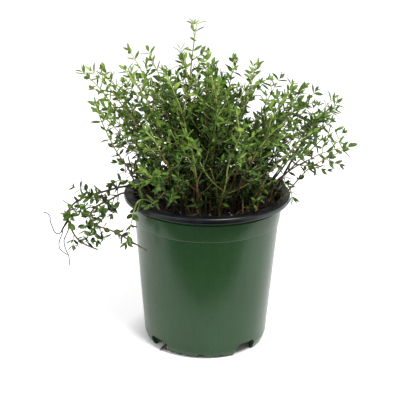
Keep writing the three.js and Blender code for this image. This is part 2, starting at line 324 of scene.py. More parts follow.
@dataclass(frozen=True)
class BlackPlastic(Finish):
    """The pot's black inner layer, which shows on its rim."""

    name: str = "black_plastic"
    deep: Colour = tone(4, 5, 8)
    worn: Colour = tone(18, 22, 30)

    def dress(self, nodes: Nodes) -> None:
        """Fine handling marks, and lighter rubbed places.

        Args:
            nodes: The material's nodes.
        """
        rubbed = nodes.grain(70, 5)
        marks = nodes.grain(900, 3)
        share = ((rubbed - 0.42) * 1.8 + (marks - 0.5) * 0.6).clamped()
        nodes.set(
            Base_Color=nodes.blend(share, self.deep, self.worn),
            Roughness=0.3 + share * 0.22,
            Specular_IOR_Level=0.4,
            Normal=nodes.bump(marks, 0.00008, 0.4),
        )


@dataclass(frozen=True)
class Grit(Finish):
    """A dull mineral or plant crumb with mottled colour and a rough surface."""

    name: str
    dark: Colour
    pale: Colour
    # Spots of colour to a metre
    spots: float = 900
    rough: float = 0.92

    def dress(self, nodes: Nodes) -> None:
        """Mottling in two sizes and a pitted relief.

        Args:
            nodes: The material's nodes.
        """
        broad = nodes.grain(self.spots * 0.3, 4)
        fine = nodes.grain(self.spots, 4)
        share = ((broad - 0.5) * 2.2 + (fine - 0.5) * 1.6 + 0.45).clamped()
        nodes.set(
            Base_Color=nodes.blend(share, self.dark, self.pale),
            Roughness=self.rough - fine * 0.12,
            Specular_IOR_Level=0.04,
            Normal=nodes.bump(fine + broad, 0.0006, 0.8),
        )


@dataclass(frozen=True)
class PaleFloor(Finish):
    """A white floor that glows a little, so that shadows on it stay faint."""

    name: str = "studio_floor"
    pale: Colour = tone(246, 246, 246)
    white: Colour = tone(251, 251, 251)
    dim: Colour = tone(40, 40, 40)
    glow: float = 0.5
    # How far from the pot's axis the glow starts and where it is full, in metres
    dim_to: float = 0.054
    bright_from: float = 0.085

    def dress(self, nodes: Nodes) -> None:
        """Hardly seen clouds, and the glow, which is weaker under the pot.

        Args:
            nodes: The material's nodes.
        """
        reach = nodes.add("ShaderNodeVectorMath", {"operation": "LENGTH"}, {0: nodes.place()}, "Value")
        far = nodes.add("ShaderNodeMapRange", {}, {0: reach, 1: self.dim_to, 2: self.bright_from})
        nodes.set(
            Base_Color=nodes.blend(nodes.grain(3, 2), self.pale, self.white),
            Roughness=0.9,
            Emission_Color=nodes.blend(far, self.dim, self.white),
            Emission_Strength=self.glow,
        )


@dataclass(frozen=True)
class DarkCard(Finish):
    """Black velvet, which sends no light back."""

    name: str = "black_velvet"
    dark: Colour = tone(2, 2, 2)
    pale: Colour = tone(6, 6, 6)

    def dress(self, nodes: Nodes) -> None:
        """A fine nap without any gloss.

        Args:
            nodes: The material's nodes.
        """
        nodes.set(
            Base_Color=nodes.blend(nodes.grain(400, 2), self.dark, self.pale),
            Roughness=1.0,
            Specular_IOR_Level=0.0,
        )


@dataclass(frozen=True)
class LeafSkin(Finish):
    """Thyme leaves, from dark old ones to pale young ones, with a light rib and a greyer underside."""

    name: str = "thyme_leaf"
    stops: tuple[tuple[float, Colour], ...] = (
        (0.0, tone(12, 28, 5)),
        (0.3, tone(37, 66, 11)),
        (0.55, tone(68, 99, 22)),
        (0.8, tone(108, 133, 50)),
        (1.0, tone(148, 164, 86)),
    )
    under: Colour = tone(104, 129, 64)
    rib: Colour = tone(142, 162, 80)

    def dress(self, nodes: Nodes) -> None:
        """The leaf's own tint, mottled, with the rib and the underside by what the mesh carries.

        Args:
            nodes: The material's nodes.
        """
        mottle = nodes.grain(700, 3)
        tint = nodes.grown("tint")
        face = nodes.ramp((tint + (mottle - 0.5) * 0.22).clamped(), self.stops)
        below = ((nodes.grown("under") - 0.5) * 4).clamped()
        face = nodes.blend(below * 0.42, face, self.under)
        line = ((nodes.grown("rib") - 0.72) * 3.5).clamped()
        pits = nodes.grain(2600, 2)
        nodes.set(
            Base_Color=nodes.blend(line * 0.32, face, self.rib),
            Roughness=0.46 + mottle * 0.16,
            Specular_IOR_Level=0.25,
            Normal=nodes.bump(pits + mottle, 0.00015, 0.6),
        )


@dataclass(frozen=True)
class StalkBark(Finish):
    """Stalks: green and smooth when young, brown and streaked when old, and near black at the oldest,
    which at the stalks' feet is also painted shade near the soil.
    """

    name: str = "thyme_stalk"
    stops: tuple[tuple[float, Colour], ...] = (
        (0.0, tone(158, 174, 92)),
        (0.25, tone(132, 142, 72)),
        (0.45, tone(128, 106, 60)),
        (0.65, tone(88, 66, 40)),
        (0.82, tone(40, 31, 23)),
        (1.0, tone(17, 15, 14)),
    )

    def dress(self, nodes: Nodes) -> None:
        """The colour of the stalk's age, with streaks along it.

        Args:
            nodes: The material's nodes.
        """
        streaks = nodes.grain(900, 4, (1, 1, 0.18))
        blotches = nodes.grain(160, 3)
        age = nodes.grown("age") + (streaks - 0.5) * 0.3 + (blotches - 0.5) * 0.24
        nodes.set(
            Base_Color=nodes.ramp(age.clamped(), self.stops),
            Roughness=0.58 + streaks * 0.2,
            Normal=nodes.bump(streaks, 0.0003, 0.7),
        )


# The potting mix and the bark chips have their own dark colours, taken darker still as painted shade under
# the foliage
POTTING_MIX = Grit("potting_mix", tone(1, 1, 1), tone(9, 7, 5), 620)
PERLITE = Grit("perlite", tone(176, 172, 160), tone(240, 238, 228), 1500, 0.8)
BARK = Grit("bark_chip", tone(10, 7, 5), tone(48, 32, 21), 800)
DRY_STALK = Grit("dry_stalk", tone(112, 84, 50), tone(178, 146, 98), 500, 0.75)
STUDIO_FLOOR = PaleFloor()
DARK_CARD = DarkCard()
LEAF_SKIN = LeafSkin()
STALK_BARK = StalkBark()


class Slot(Enum):
    """The record's material slots."""

    POT = "pot_plastic"
    SOIL = "potting_mix"
    PLANT = "thyme_foliage"


# ---------------------------------------------------------------- meshes


def finished(
    bm: BMesh, name: str, finishes: Iterable[Finish], sharp: float | None = 40
) -> bpy.types.Object:
    """Makes a mesh in the making, in millimetres, into an object at the origin, in metres.

    Args:
        bm: The mesh, which is freed.
        name: The object's name.
        finishes: The finishes of its material numbers.
        sharp: The angle in degrees past which an edge is shaded as a sharp one. Without it the mesh
            keeps the sharp edges that it has.

    Returns:
        The object, linked to the scene.
    """
    bmesh.ops.scale(bm, vec=(MM, MM, MM), verts=bm.verts)
    for face in bm.faces:
        face.smooth = True
    mesh = bpy.data.meshes.new(name)
    bm.to_mesh(mesh)
    bm.free()
    if sharp is not None:
        mesh.set_sharp_from_angle(angle=math.radians(sharp))
    for finish in finishes:
        mesh.materials.append(finish.material())
    piece = bpy.data.objects.new(name, mesh)
    bpy.context.scene.collection.objects.link(piece)
    return piece


def riding(piece: bpy.types.Object, slot: Slot, *nodes: str) -> bpy.types.Object:
    """Makes a piece ride on the one body and hides the CAD nodes that it stands for.

    Args:
        piece: The piece.
        slot: Its material slot, which is not used.
        nodes: The CAD nodes that it stands for.

    Returns:
        The same piece.
    """
    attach(piece, "root")
    if nodes:
        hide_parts(*nodes)
    return piece


def edges_of(verts: Iterable[BMVert]) -> list[BMEdge]:
    """The edges at some points, each once, in an order that stays the same from run to run."""
    return list(dict.fromkeys(edge for vert in verts for edge in vert.link_edges))


def wire(bm: BMesh, corners: Sequence[Triple]) -> list[BMVert]:
    """Draws an open outline in the XZ plane and rounds its corners.

    Args:
        bm: The mesh in the making.
        corners: Each corner's radius, height and rounding.

    Returns:
        The corners' points, as they were drawn.
    """
    points = [bm.verts.new((radius, 0, height)) for radius, height, _ in corners]
    for start, end in zip(points, points[1:]):
        bm.edges.new((start, end))
    for rounding in sorted({r for _, _, r in corners if r}):
        rounded = [point for point, corner in zip(points, corners) if corner[2] == rounding]
        bmesh.ops.bevel(
            bm, geom=rounded, offset=rounding, offset_type="OFFSET", segments=ROUND_STEPS, profile=0.5,
            affect="VERTICES", material=-1,
        )
    return points


def turned(bm: BMesh, steps: int) -> None:
    """Spins an outline a full turn about the upright axis and closes it.

    Args:
        bm: The mesh in the making.
        steps: How many steps the turn has.
    """
    geometry = [*bm.verts, *bm.edges]
    bmesh.ops.spin(
        bm, geom=geometry, cent=(0, 0, 0), axis=UP, angle=2 * math.pi, steps=steps,
        use_merge=True,
    )
    bmesh.ops.remove_doubles(bm, verts=bm.verts, dist=MERGE)
    bmesh.ops.recalc_face_normals(bm, faces=bm.faces)


class Path:
    """A smooth line in space, measured along its length."""

    # How many points a stretch has, and how many small bends a line gets
    FINE = 12
    BENDS = 8

    def __init__(self, points: Sequence[Vector]) -> None:
        """Measures the line's points.

        Args:
            points: The points.
        """
        self.points = list(points)
        self.runs = [0.0]
        for start, end in zip(self.points, self.points[1:]):
            self.runs.append(self.runs[-1] + (end - start).length)

    @classmethod
    def arched(cls, start: Vector, middle: Vector, end: Vector) -> "Path":
        """A line that is drawn towards a middle point on its way."""
        handles = start.lerp(middle, 2 / 3), end.lerp(middle, 2 / 3)
        return cls(interpolate_bezier(start, *handles, end, 3 * cls.FINE))

    @classmethod
    def through(cls, points: Sequence[Vector]) -> "Path":
        """A line that passes all the points, and bends like a spline.

        Args:
            points: The points, two or more.

        Returns:
            The line.
        """
        row = [2 * points[0] - points[1], *points, 2 * points[-1] - points[-2]]
        fine: list[Vector] = []
        for before, start, end, after in zip(row, row[1:], row[2:], row[3:]):
            leave, arrive = start + (end - before) / 6, end - (after - start) / 6
            fine += interpolate_bezier(start, leave, arrive, end, cls.FINE)[:-1]
        return cls([*fine, points[-1]])

    def bent(self, draws: Draws, most: float) -> "Path":
        """The same line with small bends, up to most to each side between its ends.

        Args:
            draws: Where the bends are drawn from.
            most: How far the line may move to a side, in millimetres.

        Returns:
            The bent line.
        """
        row = []
        for k in range(self.BENDS + 1):
            point, along = self.at(k / self.BENDS)
            side = leaving(along, draws.between(0, 2 * math.pi), math.pi / 2)
            row.append(point + side * most * draws.draw() * (0 < k < self.BENDS))
        return Path.through(row)

    @property
    def length(self) -> float:
        """The line's whole length."""
        return self.runs[-1]

    def at(self, share: float) -> tuple[Vector, Vector]:
        """Finds a place on the line.

        Args:
            share: The place's share of the length.

        Returns:
            The point there and the line's direction.
        """
        run = share * self.length
        piece = min(max(bisect_right(self.runs, run) - 1, 0), len(self.points) - 2)
        start, end = self.points[piece], self.points[piece + 1]
        part = (run - self.runs[piece]) / (self.runs[piece + 1] - self.runs[piece])
        return start.lerp(end, part), (end - start).normalized()


def leaving(along: Vector, turn: float, spread: float) -> Vector:
    """The direction that leaves a stalk at an angle to it, after a turn about the stalk.

    Args:
        along: The stalk's direction.
        turn: The turn about the stalk.
        spread: The angle with the stalk.

    Returns:
        The direction.
    """
    level = Vector((0, 1, 0)).cross(along).normalized()
    other = along.cross(level)
    across = level * math.cos(turn) + other * math.sin(turn)
    return across * math.sin(spread) + along * math.cos(spread)


def bar(
    bm: BMesh,
    path: Path,
    radius: Callable[[float], float],
    steps: int,
    sides: int,
    mark: Callable[[BMVert, float], None] = lambda vert, share: None,
) -> None:
    """Adds a closed round bar along a path.

    Args:
        bm: The mesh in the making.
        path: The bar's middle line.
        radius: The bar's radius at a share of its length.
        steps: How many stretches it has.
        sides: How many sides it has.
        mark: Called with each new point and its share of the length.
    """
    point, along = path.at(0)
    turn = along.to_track_quat("Z", "Y")
    place = Matrix.LocRotScale(point, turn, Vector.Fill(3, radius(0)))
    ring = bmesh.ops.create_circle(bm, cap_ends=True, radius=1, segments=sides, matrix=place)["verts"]
    first = ring[0].link_faces[0]
    rim: list[BMEdge] = list(first.edges)
    faces: list[BMFace] = [first]
    for vert in ring:
        mark(vert, 0)
    for step in range(1, steps + 1):
        share = step / steps
        point, onward = path.at(share)
        turn = along.rotation_difference(onward) @ turn
        along = onward
        following = Matrix.LocRotScale(point, turn, Vector.Fill(3, radius(share)))
        grown = bmesh.ops.extrude_edge_only(bm, edges=rim)["geom"]
        ring = [item for item in grown if isinstance(item, BMVert)]
        rim = [item for item in grown if isinstance(item, BMEdge)]
        faces += [item for item in grown if isinstance(item, BMFace)]
        bmesh.ops.transform(bm, matrix=following @ place.inverted(), verts=ring)
        place = following
        for vert in ring:
            mark(vert, share)
    faces += bmesh.ops.contextual_create(bm, geom=rim)["faces"]
    bmesh.ops.recalc_face_normals(bm, faces=faces)


# ---------------------------------------------------------------- pot


@dataclass(frozen=True)
class Opening:
    """An opening in the foot: how wide and high it is, and how its upper corners are rounded."""

    width: float
    height: float
    corner: float


@dataclass
class Pot:
    """The moulded pot: one shell, green outside and black inside, with a broad rim and a cut foot."""

    height: float = 155.5
    rim_radius: float = 82.5
    rim_drop: float = 5.5
    rim_thick: float = 2.2
    wall: float = 1.2
    top_radius: float = 74.2
    foot_turn: Pair = (62.0, 8.0)
    foot_waist: Pair = (59.8, 3.0)
    foot_radius: float = 56.8
    foot_width: float = 2.0
    base_lift: float = 10.4
    collar: Pair = (128.3, 145.0)
    collar_step: float = 0.9
    collar_flare: float = 1.5
    collar_ease: float = 0.6
    # A fine groove in the rim's top: how far it lies outside the middle, its half width and its depth
    groove: Triple = (1.6, 0.8, 0.5)
    # How far corners are rounded
    fine: float = 0.3
    soft: float = 0.5
    wide: float = 1.2
    floor_round: float = 0.6
    skirt_round: float = 0.8
    rim_round: float = 1.6
    groove_round: float = 0.2
    # How far the black layer is taken to reach past its edges
    seam: float = 0.2
    # The angle in degrees past which an edge is a sharp one
    sharp: float = 28
    segments: int = 192
    arches: int = 4
    arch_start: float = math.radians(-138.5)
    cut_depth: float = 11.0
    opening_steps: int = 5
    # The arch and the notches after it: how far each is turned from the arch in degrees, and its shape
    openings: tuple[tuple[float, Opening], ...] = (
        (0, Opening(24, 12.6, 4.5)),
        (26, Opening(5.6, 3.3, 1.4)),
        (45, Opening(7, 4.7, 1.8)),
        (64, Opening(5.6, 3.3, 1.4)),
    )

    @property
    def floor_top(self) -> float:
        """The height of the floor inside."""
        return self.base_lift + self.wall

    def wall_radius(self, z: float) -> float:
        """The outer radius of the wall at a height.

        Args:
            z: The height in millimetres.

        Returns:
            The radius in millimetres.
        """
        turn_radius, turn_height = self.foot_turn
        waist_radius, waist_height = self.foot_waist
        if z > turn_height:
            share = (z - turn_height) / (self.height - turn_height)
            return turn_radius + (self.top_radius - turn_radius) * share
        if z > waist_height:
            share = (z - waist_height) / (turn_height - waist_height)
            return waist_radius + (turn_radius - waist_radius) * share
        return self.foot_radius + (waist_radius - self.foot_radius) * z / waist_height

    def outline(self) -> list[Triple]:
        """The shell's outline, from under its floor round its outside to the inside.

        Returns:
            Each corner's radius, height and rounding.
        """
        rim_under = self.height - self.rim_thick
        rim_foot = self.height - self.rim_drop
        skirt_inside = self.rim_radius - self.rim_thick
        foot_inside = self.foot_radius - self.foot_width
        collar_low, collar_high = self.collar
        step, ease = self.collar_step, self.collar_ease
        fine, soft, wide = self.fine, self.soft, self.wide
        inner = self.top_radius - self.wall
        past_middle, half, deep = self.groove
        groove = (self.rim_radius + inner) / 2 + past_middle
        return [
            (0, self.base_lift, 0),
            (foot_inside, self.base_lift, 0),
            (foot_inside, 0, fine),
            (self.foot_radius, 0, soft),
            (*self.foot_waist, wide),
            (*self.foot_turn, wide),
            (self.wall_radius(collar_low - ease), collar_low - ease, 0),
            (self.wall_radius(collar_low) + step, collar_low + ease / 2, fine),
            (self.wall_radius(collar_high) + self.collar_flare, collar_high, fine),
            (self.wall_radius(collar_high), collar_high + step, fine),
            (self.wall_radius(rim_under), rim_under, soft),
            (skirt_inside, rim_under, soft),
            (skirt_inside, rim_foot, fine),
            (self.rim_radius, rim_foot, self.skirt_round),
            (self.rim_radius, self.height, self.rim_round),
            (groove + half, self.height, fine),
            (groove, self.height - deep, self.groove_round),
            (groove - half, self.height, fine),
            (inner, self.height, wide),
            (self.wall_radius(self.floor_top) - self.wall, self.floor_top, self.floor_round),
            (0, self.floor_top, 0),
        ]

    def cutters(self) -> BMesh:
        """The blocks that cut the foot's arches and notches, their upper edges rounded.

        Returns:
            The mesh in the making.
        """
        bm = bmesh.new()
        for i in range(self.arches):
            for past, opening in self.openings:
                angle = self.arch_start + i * 2 * math.pi / self.arches + math.radians(past)
                size = Matrix.Diagonal((2 * self.cut_depth, opening.width, 2 * opening.height, 1))
                out = Matrix.Translation((self.foot_turn[0], 0, 0))
                block = Matrix.Rotation(angle, 4, "Z") @ out @ size
                corners = bmesh.ops.create_cube(bm, size=1, matrix=block)["verts"]
                upper = [edge for edge in edges_of(corners) if self.is_upper(edge, angle)]
                bmesh.ops.bevel(
                    bm, geom=upper, offset=opening.corner, offset_type="OFFSET",
                    segments=self.opening_steps, profile=0.5, affect="EDGES", material=-1,
                )
        return bm

    def is_upper(self, edge: BMEdge, angle: float) -> bool:
        """Whether an edge of a cutting block is an upper one that runs towards the pot's axis.

        Args:
            edge: The edge.
            angle: The block's turn about the axis.

        Returns:
            Whether it is one of the two edges to be rounded.
        """
        start, end = (vert.co for vert in edge.verts)
        inwards = (end - start).normalized().dot(Vector((math.cos(angle), math.sin(angle), 0)))
        return min(start.z, end.z) > 0 and abs(inwards) > 0.9

    def is_black(self, place: Vector) -> bool:
        """Whether the black layer shows at a place on the shell.

        Args:
            place: The place, in millimetres.

        Returns:
            True where it does.
        """
        radius, z = math.hypot(place.x, place.y), place.z
        on_rim = z > self.height - self.rim_drop - self.seam and radius > self.top_radius + 1
        inside = z > self.floor_top - self.wall / 2 and radius < self.wall_radius(z) - self.wall / 2
        return on_rim or inside or z > self.height - self.rim_thick - self.seam / 2

    def build(self) -> list[bpy.types.Object]:
        """Spins the shell, cuts its foot and gives it its two layers.

        Returns:
            The pot, alone in a list.
        """
        bm = bmesh.new()
        wire(bm, self.outline())
        turned(bm, self.segments)
        shell = finished(bm, "pot_uncut", ())
        cutter = finished(self.cutters(), "foot_cutters", ())
        cut = shell.modifiers.new("foot", "BOOLEAN")
        cut.object, cut.operation, cut.solver = cutter, "DIFFERENCE", "EXACT"
        depsgraph = bpy.context.evaluated_depsgraph_get()
        shape = bpy.data.meshes.new_from_object(shell.evaluated_get(depsgraph))
        for done in (shell, cutter):
            bpy.data.objects.remove(done)
        bm = bmesh.new()
        bm.from_mesh(shape)
        bpy.data.meshes.remove(shape)
        bmesh.ops.scale(bm, vec=(1 / MM, 1 / MM, 1 / MM), verts=bm.verts)
        bmesh.ops.remove_doubles(bm, verts=bm.verts, dist=MERGE)
        for face in bm.faces:
            face.material_index = int(self.is_black(face.calc_center_median()))
        piece = finished(bm, "nursery_pot", (GreenPlastic(), BlackPlastic()), self.sharp)
        return [riding(piece, Slot.POT, "pot")]


# ---------------------------------------------------------------- soil


@dataclass
class SoilBed:
    """The potting mix: a lumpy bed that fills the pot nearly to its rim."""

    pot: Pot
    top: float = 141.0
    gap: float = 0.35
    lump: float = 1.6
    # Two kinds of unevenness on the lumps: how wide and how high each is
    broad: Pair = (5.0, 1.3)
    fine: Pair = (2.2, 0.8)
    # The width of the level ring at the wall
    level_ring: float = 5.0
    rings: int = 34
    segments: int = 144

    @property
    def edge(self) -> float:
        """The radius of the bed's surface."""
        return self.pot.wall_radius(self.top) - self.pot.wall - self.gap

    def height_at(self, x: float, y: float) -> float:
        """The height of the surface at a place.

        Args:
            x: The place from left to right, in millimetres.
            y: The place from front to back, in millimetres.

        Returns:
            The height in millimetres.
        """
        wave = math.sin(x / 7 + 1.3 * math.sin(y / 11)) * math.cos(y / 8 + 0.7 * math.sin(x / 9))
        (broad, high), (fine, low) = self.broad, self.fine
        rough = noise.noise(Vector((x, y, 0)) / broad) * high + noise.noise(Vector((x, y, 9)) / fine) * low
        settled = smooth_step(self.edge, self.edge - self.level_ring, math.hypot(x, y))
        return self.top + (self.lump * wave + rough) * settled

    def build(self) -> list[bpy.types.Object]:
        """Spins the bed and heaves its surface.

        Returns:
            The bed, alone in a list.
        """
        bm = bmesh.new()
        pot, gap = self.pot, self.gap
        floor = pot.floor_top + gap
        points = wire(
            bm,
            [
                (0, floor, 0),
                (pot.wall_radius(floor) - pot.wall - gap, floor, 0),
                (self.edge, self.top, 0),
                (0, self.top, 0),
            ],
        )
        surface = [edge for edge in points[-1].link_edges if points[-2] in edge.verts]
        bmesh.ops.subdivide_edges(bm, edges=surface, cuts=self.rings)
        turned(bm, self.segments)
        for vert in bm.verts:
            if vert.co.z > self.top - MERGE:
                vert.co.z = self.height_at(vert.co.x, vert.co.y)
        piece = finished(bm, "potting_mix_bed", (POTTING_MIX,), 180)
        return [riding(piece, Slot.SOIL, "soil")]


@dataclass
class Litter:
    """What lies on the bed: crumbs of mix, perlite grains, bark chips and dry stalks."""

    bed: SoilBed
    seed: int = 11
    crumbs: int = 1500
    grains: int = 60
    chips: int = 130
    # How far litter stays from the wall
    margin: float = 1.5
    # Each dry stalk's foot on the bed, its far end with its height over the bed, and its radius
    dry_stalks: tuple[tuple[float, float, float, float, float, float], ...] = (
        (45.5, -34, 54, -26, 27, 1.15),
        (53, -37, 73.5, -22, 17.2, 0.75),
        (35, -36, 34.5, -34, 19, 0.8),
        (17, -34, 27, -39, 3, 0.9),
        (46, -30, 40, -42, 9, 0.7),
        (28, -30, 36, -40, 12, 0.55),
        (-22, -34, -10, -40, 4, 0.7),
        (-44, -26, -52, -10, 12, 0.6),
        (60, -12, 66, -4, 22, 0.7),
        (10, 50, 24, 62, 7, 0.8),
        (-24, 50, -46, 44, 5, 0.7),
        (58, 20, 50, 38, 9, 0.8),
    )
    # Grains of perlite at the front, as x, y and radius
    front_grains: tuple[Triple, ...] = (
        (-26, -33, 1.8), (-15, -35, 1.3), (-13, -36, 1.0), (3, -33, 1.5), (10, -36, 1.2), (24, -33, 1.2),
    )
    # Crumbs that stick out of the drain opening at the left, as x, y, z and radius
    drain_crumbs: tuple[tuple[float, float, float, float], ...] = (
        (-36, -38, 11, 2.2), (-37, -39.6, 8.8, 2.1), (-38, -41, 6.6, 2.0), (-39.4, -41.6, 4.8, 2.0),
        (-40.6, -42.4, 3.4, 2.1), (-42.4, -42.6, 2.4, 1.9), (-39, -43.6, 2, 1.6), (-44.4, -43.4, 1.6, 1.3),
    )

    def spot(self, draws: Draws) -> Vector:
        """A place on the bed, as likely in any part of it.

        Args:
            draws: Where the place is drawn from.

        Returns:
            The place, in millimetres.
        """
        reach = (self.bed.edge - self.margin) * math.sqrt(draws.draw())
        turn = draws.between(0, 2 * math.pi)
        x, y = reach * math.cos(turn), reach * math.sin(turn)
        return Vector((x, y, self.bed.height_at(x, y)))

    def scatter(
        self,
        count: int,
        sizes: Pair,
        seed: int,
        detail: int,
        placed: Sequence[tuple[Vector, float]] = (),
    ) -> BMesh:
        """Rough round grains on the bed.

        Args:
            count: How many there are.
            sizes: The smallest and the largest radius.
            seed: Where their row of draws starts.
            detail: How often a grain's faces are split.
            placed: More grains, as their places and radii.

        Returns:
            The mesh in the making.
        """
        bm = bmesh.new()
        draws = Draws(seed)
        spots = [(self.spot(draws), draws.between(*sizes) * draws.between(0.6, 1)) for _ in range(count)]
        for spot, size in (*spots, *placed):
            flat = Matrix.Diagonal((size, size * draws.between(0.6, 1), size * draws.between(0.5, 0.9), 1))
            spot.z += size * 0.25
            place = Matrix.Translation(spot) @ draws.turned() @ flat
            grain = bmesh.ops.create_icosphere(bm, subdivisions=detail, radius=1, matrix=place)["verts"]
            for vert in grain:
                vert.co += noise.noise_vector(vert.co / size * 0.9) * size * 0.3
        return bm

    def chip_heap(self, seed: int) -> BMesh:
        """Splinters of bark with worn edges.

        Args:
            seed: Where their row of draws starts.

        Returns:
            The mesh in the making.
        """
        bm = bmesh.new()
        draws = Draws(seed)
        for _ in range(self.chips):
            spot = self.spot(draws)
            long, broad, thick = draws.between(2.5, 7), draws.between(1, 2.6), draws.between(0.5, 1.1)
            spot.z += thick * 0.5
            tilt = Euler((draws.between(-0.35, 0.35), draws.between(-0.35, 0.35), draws.between(0, 6.3)))
            size = Matrix.Diagonal((long, broad, thick, 1))
            place = Matrix.Translation(spot) @ tilt.to_matrix().to_4x4() @ size
            chip = bmesh.ops.create_cube(bm, size=1, matrix=place)["verts"]
            for vert in chip:
                vert.co += noise.noise_vector(vert.co * 0.7) * thick * 0.7
            bmesh.ops.bevel(
                bm, geom=edges_of(chip), offset=thick * 0.2, offset_type="OFFSET", segments=1, profile=0.5,
                affect="EDGES", material=-1, clamp_overlap=True,
            )
        return bm

    def dry_heap(self, seed: int) -> BMesh:
        """Dry stalks that lean on the bed.

        Args:
            seed: Where their row of draws starts.

        Returns:
            The mesh in the making.
        """
        bm = bmesh.new()
        draws = Draws(seed)
        for x, y, end_x, end_y, lift, thick in self.dry_stalks:
            start = Vector((x, y, self.bed.height_at(x, y) - 0.4))
            end = Vector((end_x, end_y, self.bed.top + lift))
            way = end - start
            side = Vector((way.y, -way.x, way.length * 0.3)) * draws.between(-0.12, 0.12)
            wobble = draws.between(0, 6)
            bar(
                bm, Path.arched(start, start.lerp(end, 0.5) + side, end),
                lambda share: thick * (1 - 0.4 * share + 0.09 * math.sin(9 * share + wobble)), 10, 7,
            )
        return bm

    def build(self) -> list[bpy.types.Object]:
        """Builds the four kinds of litter, each as one piece.

        Returns:
            The pieces.
        """
        # The vector noise takes its offsets from this seed, and otherwise from the time
        noise.seed_set(self.seed)
        front = [
            (Vector((x, y, self.bed.height_at(x, y) + radius / 2)), radius)
            for x, y, radius in self.front_grains
        ]
        drain = [(Vector((x, y, z)), radius) for x, y, z, radius in self.drain_crumbs]
        made = (
            ("soil_crumbs", self.scatter(self.crumbs, (0.6, 2.1), self.seed, 1, drain), POTTING_MIX),
            ("perlite_grains", self.scatter(self.grains, (0.8, 1.9), self.seed + 1, 2, front), PERLITE),
            ("bark_chips", self.chip_heap(self.seed + 2), BARK),
            ("dry_stalks", self.dry_heap(self.seed + 3), DRY_STALK),
        )
        return [riding(finished(bm, name, (finish,)), Slot.SOIL) for name, bm, finish in made]


# ---------------------------------------------------------------- plant


@dataclass(frozen=True)
class Room:
    """Where leaves may be: clear of the pot and the soil, and inside the CAD model's box."""

    bed: SoilBed
    # How far a leaf's point may pass the box
    spare: float = 2.0

    def clear(self, place: Vector, radius: float = 0.6) -> bool:
        """Whether a point with some room round it touches neither the pot nor the soil.

        Args:
            place: The point, in millimetres.
            radius: How much room it needs round it.

        Returns:
            True if it has that room.
        """
        pot = self.bed.pot
        reach = math.hypot(place.x, place.y)
        above = place.z > pot.height + radius
        inside = place.z > self.bed.top + 1 + radius and reach < self.bed.edge - radius
        outside = reach > pot.rim_radius + radius
        below = place.z < pot.height - pot.rim_drop - radius and (
            reach > pot.wall_radius(place.z) + pot.collar_flare + radius
        )
        return above or inside or outside or below

    def holds(self, place: Vector) -> bool:
        """Whether a point is inside the CAD model's box, or only a little outside it."""
        low, high = cad_low / MM, cad_high / MM
        return all(low[i] - self.spare < place[i] < high[i] + self.spare for i in range(3))


@dataclass(frozen=True)
class LeafShape:
    """How a leaf is bent: down along its length, up from its rib to its sides, and sideways."""

    droop: float
    cup: float
    sway: float


@dataclass
class LeafKit:
    """A few leaf meshes, one unit long, that are stamped along the stalks."""

    shapes: tuple[LeafShape, ...] = (
        LeafShape(0.10, 0.10, 0.03),
        LeafShape(0.22, -0.05, -0.05),
        LeafShape(-0.10, 0.16, 0.05),
        LeafShape(0.34, 0.05, 0.02),
        LeafShape(0.02, 0.20, -0.06),
        LeafShape(0.16, -0.08, 0.08),
    )
    # A leaf's half width at shares of its length, from its stalk to its point
    blade: tuple[Pair, ...] = (
        (0.0, 0.02), (0.1, 0.045), (0.26, 0.145), (0.46, 0.19), (0.67, 0.168), (0.87, 0.09), (1.0, 0.0),
    )
    thick: float = 0.05
    meshes: list[bpy.types.Mesh] = field(default_factory=list)

    def __post_init__(self) -> None:
        """Makes the meshes."""
        self.meshes = [self._leaf(shape) for shape in self.shapes]

    def _leaf(self, shape: LeafShape) -> bpy.types.Mesh:
        """One leaf: a bent blade with a rib below, closed at its edges.

        Args:
            shape: How the leaf is bent.

        Returns:
            Its mesh, one unit long.
        """
        bm = bmesh.new()
        rib, under = (bm.verts.layers.float.new(name) for name in ("rib", "under"))
        rows = len(self.blade) - 1
        bmesh.ops.create_grid(bm, x_segments=2, y_segments=rows, size=0.5)
        for vert in bm.verts:
            share, half = self.blade[round((vert.co.y + 0.5) * rows)]
            side = round(vert.co.x * 2)
            vert[rib] = 1 - abs(side)
            lift = shape.cup * abs(side) * half - shape.droop * share**2
            vert.co = (side * half + shape.sway * share**2, share, lift)
        for face in bm.faces:
            face.material_index = 1
            face.smooth = True
        below = bmesh.ops.duplicate(bm, geom=[*bm.verts, *bm.edges, *bm.faces])["geom"]
        bmesh.ops.reverse_faces(bm, faces=[item for item in below if isinstance(item, BMFace)])
        for vert in (item for item in below if isinstance(item, BMVert)):
            share = vert.co.y
            inner = vert[rib] > 0.5 and 0 < share < 1
            vert.co.z -= self.thick * inner
            vert[under] = 1 if inner else 0.5
        for vert in bm.verts:
            if vert[rib] < 0.5:
                vert[under] = 0.5
        bmesh.ops.remove_doubles(bm, verts=bm.verts, dist=MERGE)
        for edge in bm.edges:
            edge.smooth = any(vert[rib] > 0.5 for vert in edge.verts)
        mesh = bpy.data.meshes.new("leaf_shape")
        bm.to_mesh(mesh)
        bm.free()
        return mesh

    def clear_up(self) -> None:
        """Removes the meshes that were stamped from."""
        for mesh in self.meshes:
            bpy.data.meshes.remove(mesh)


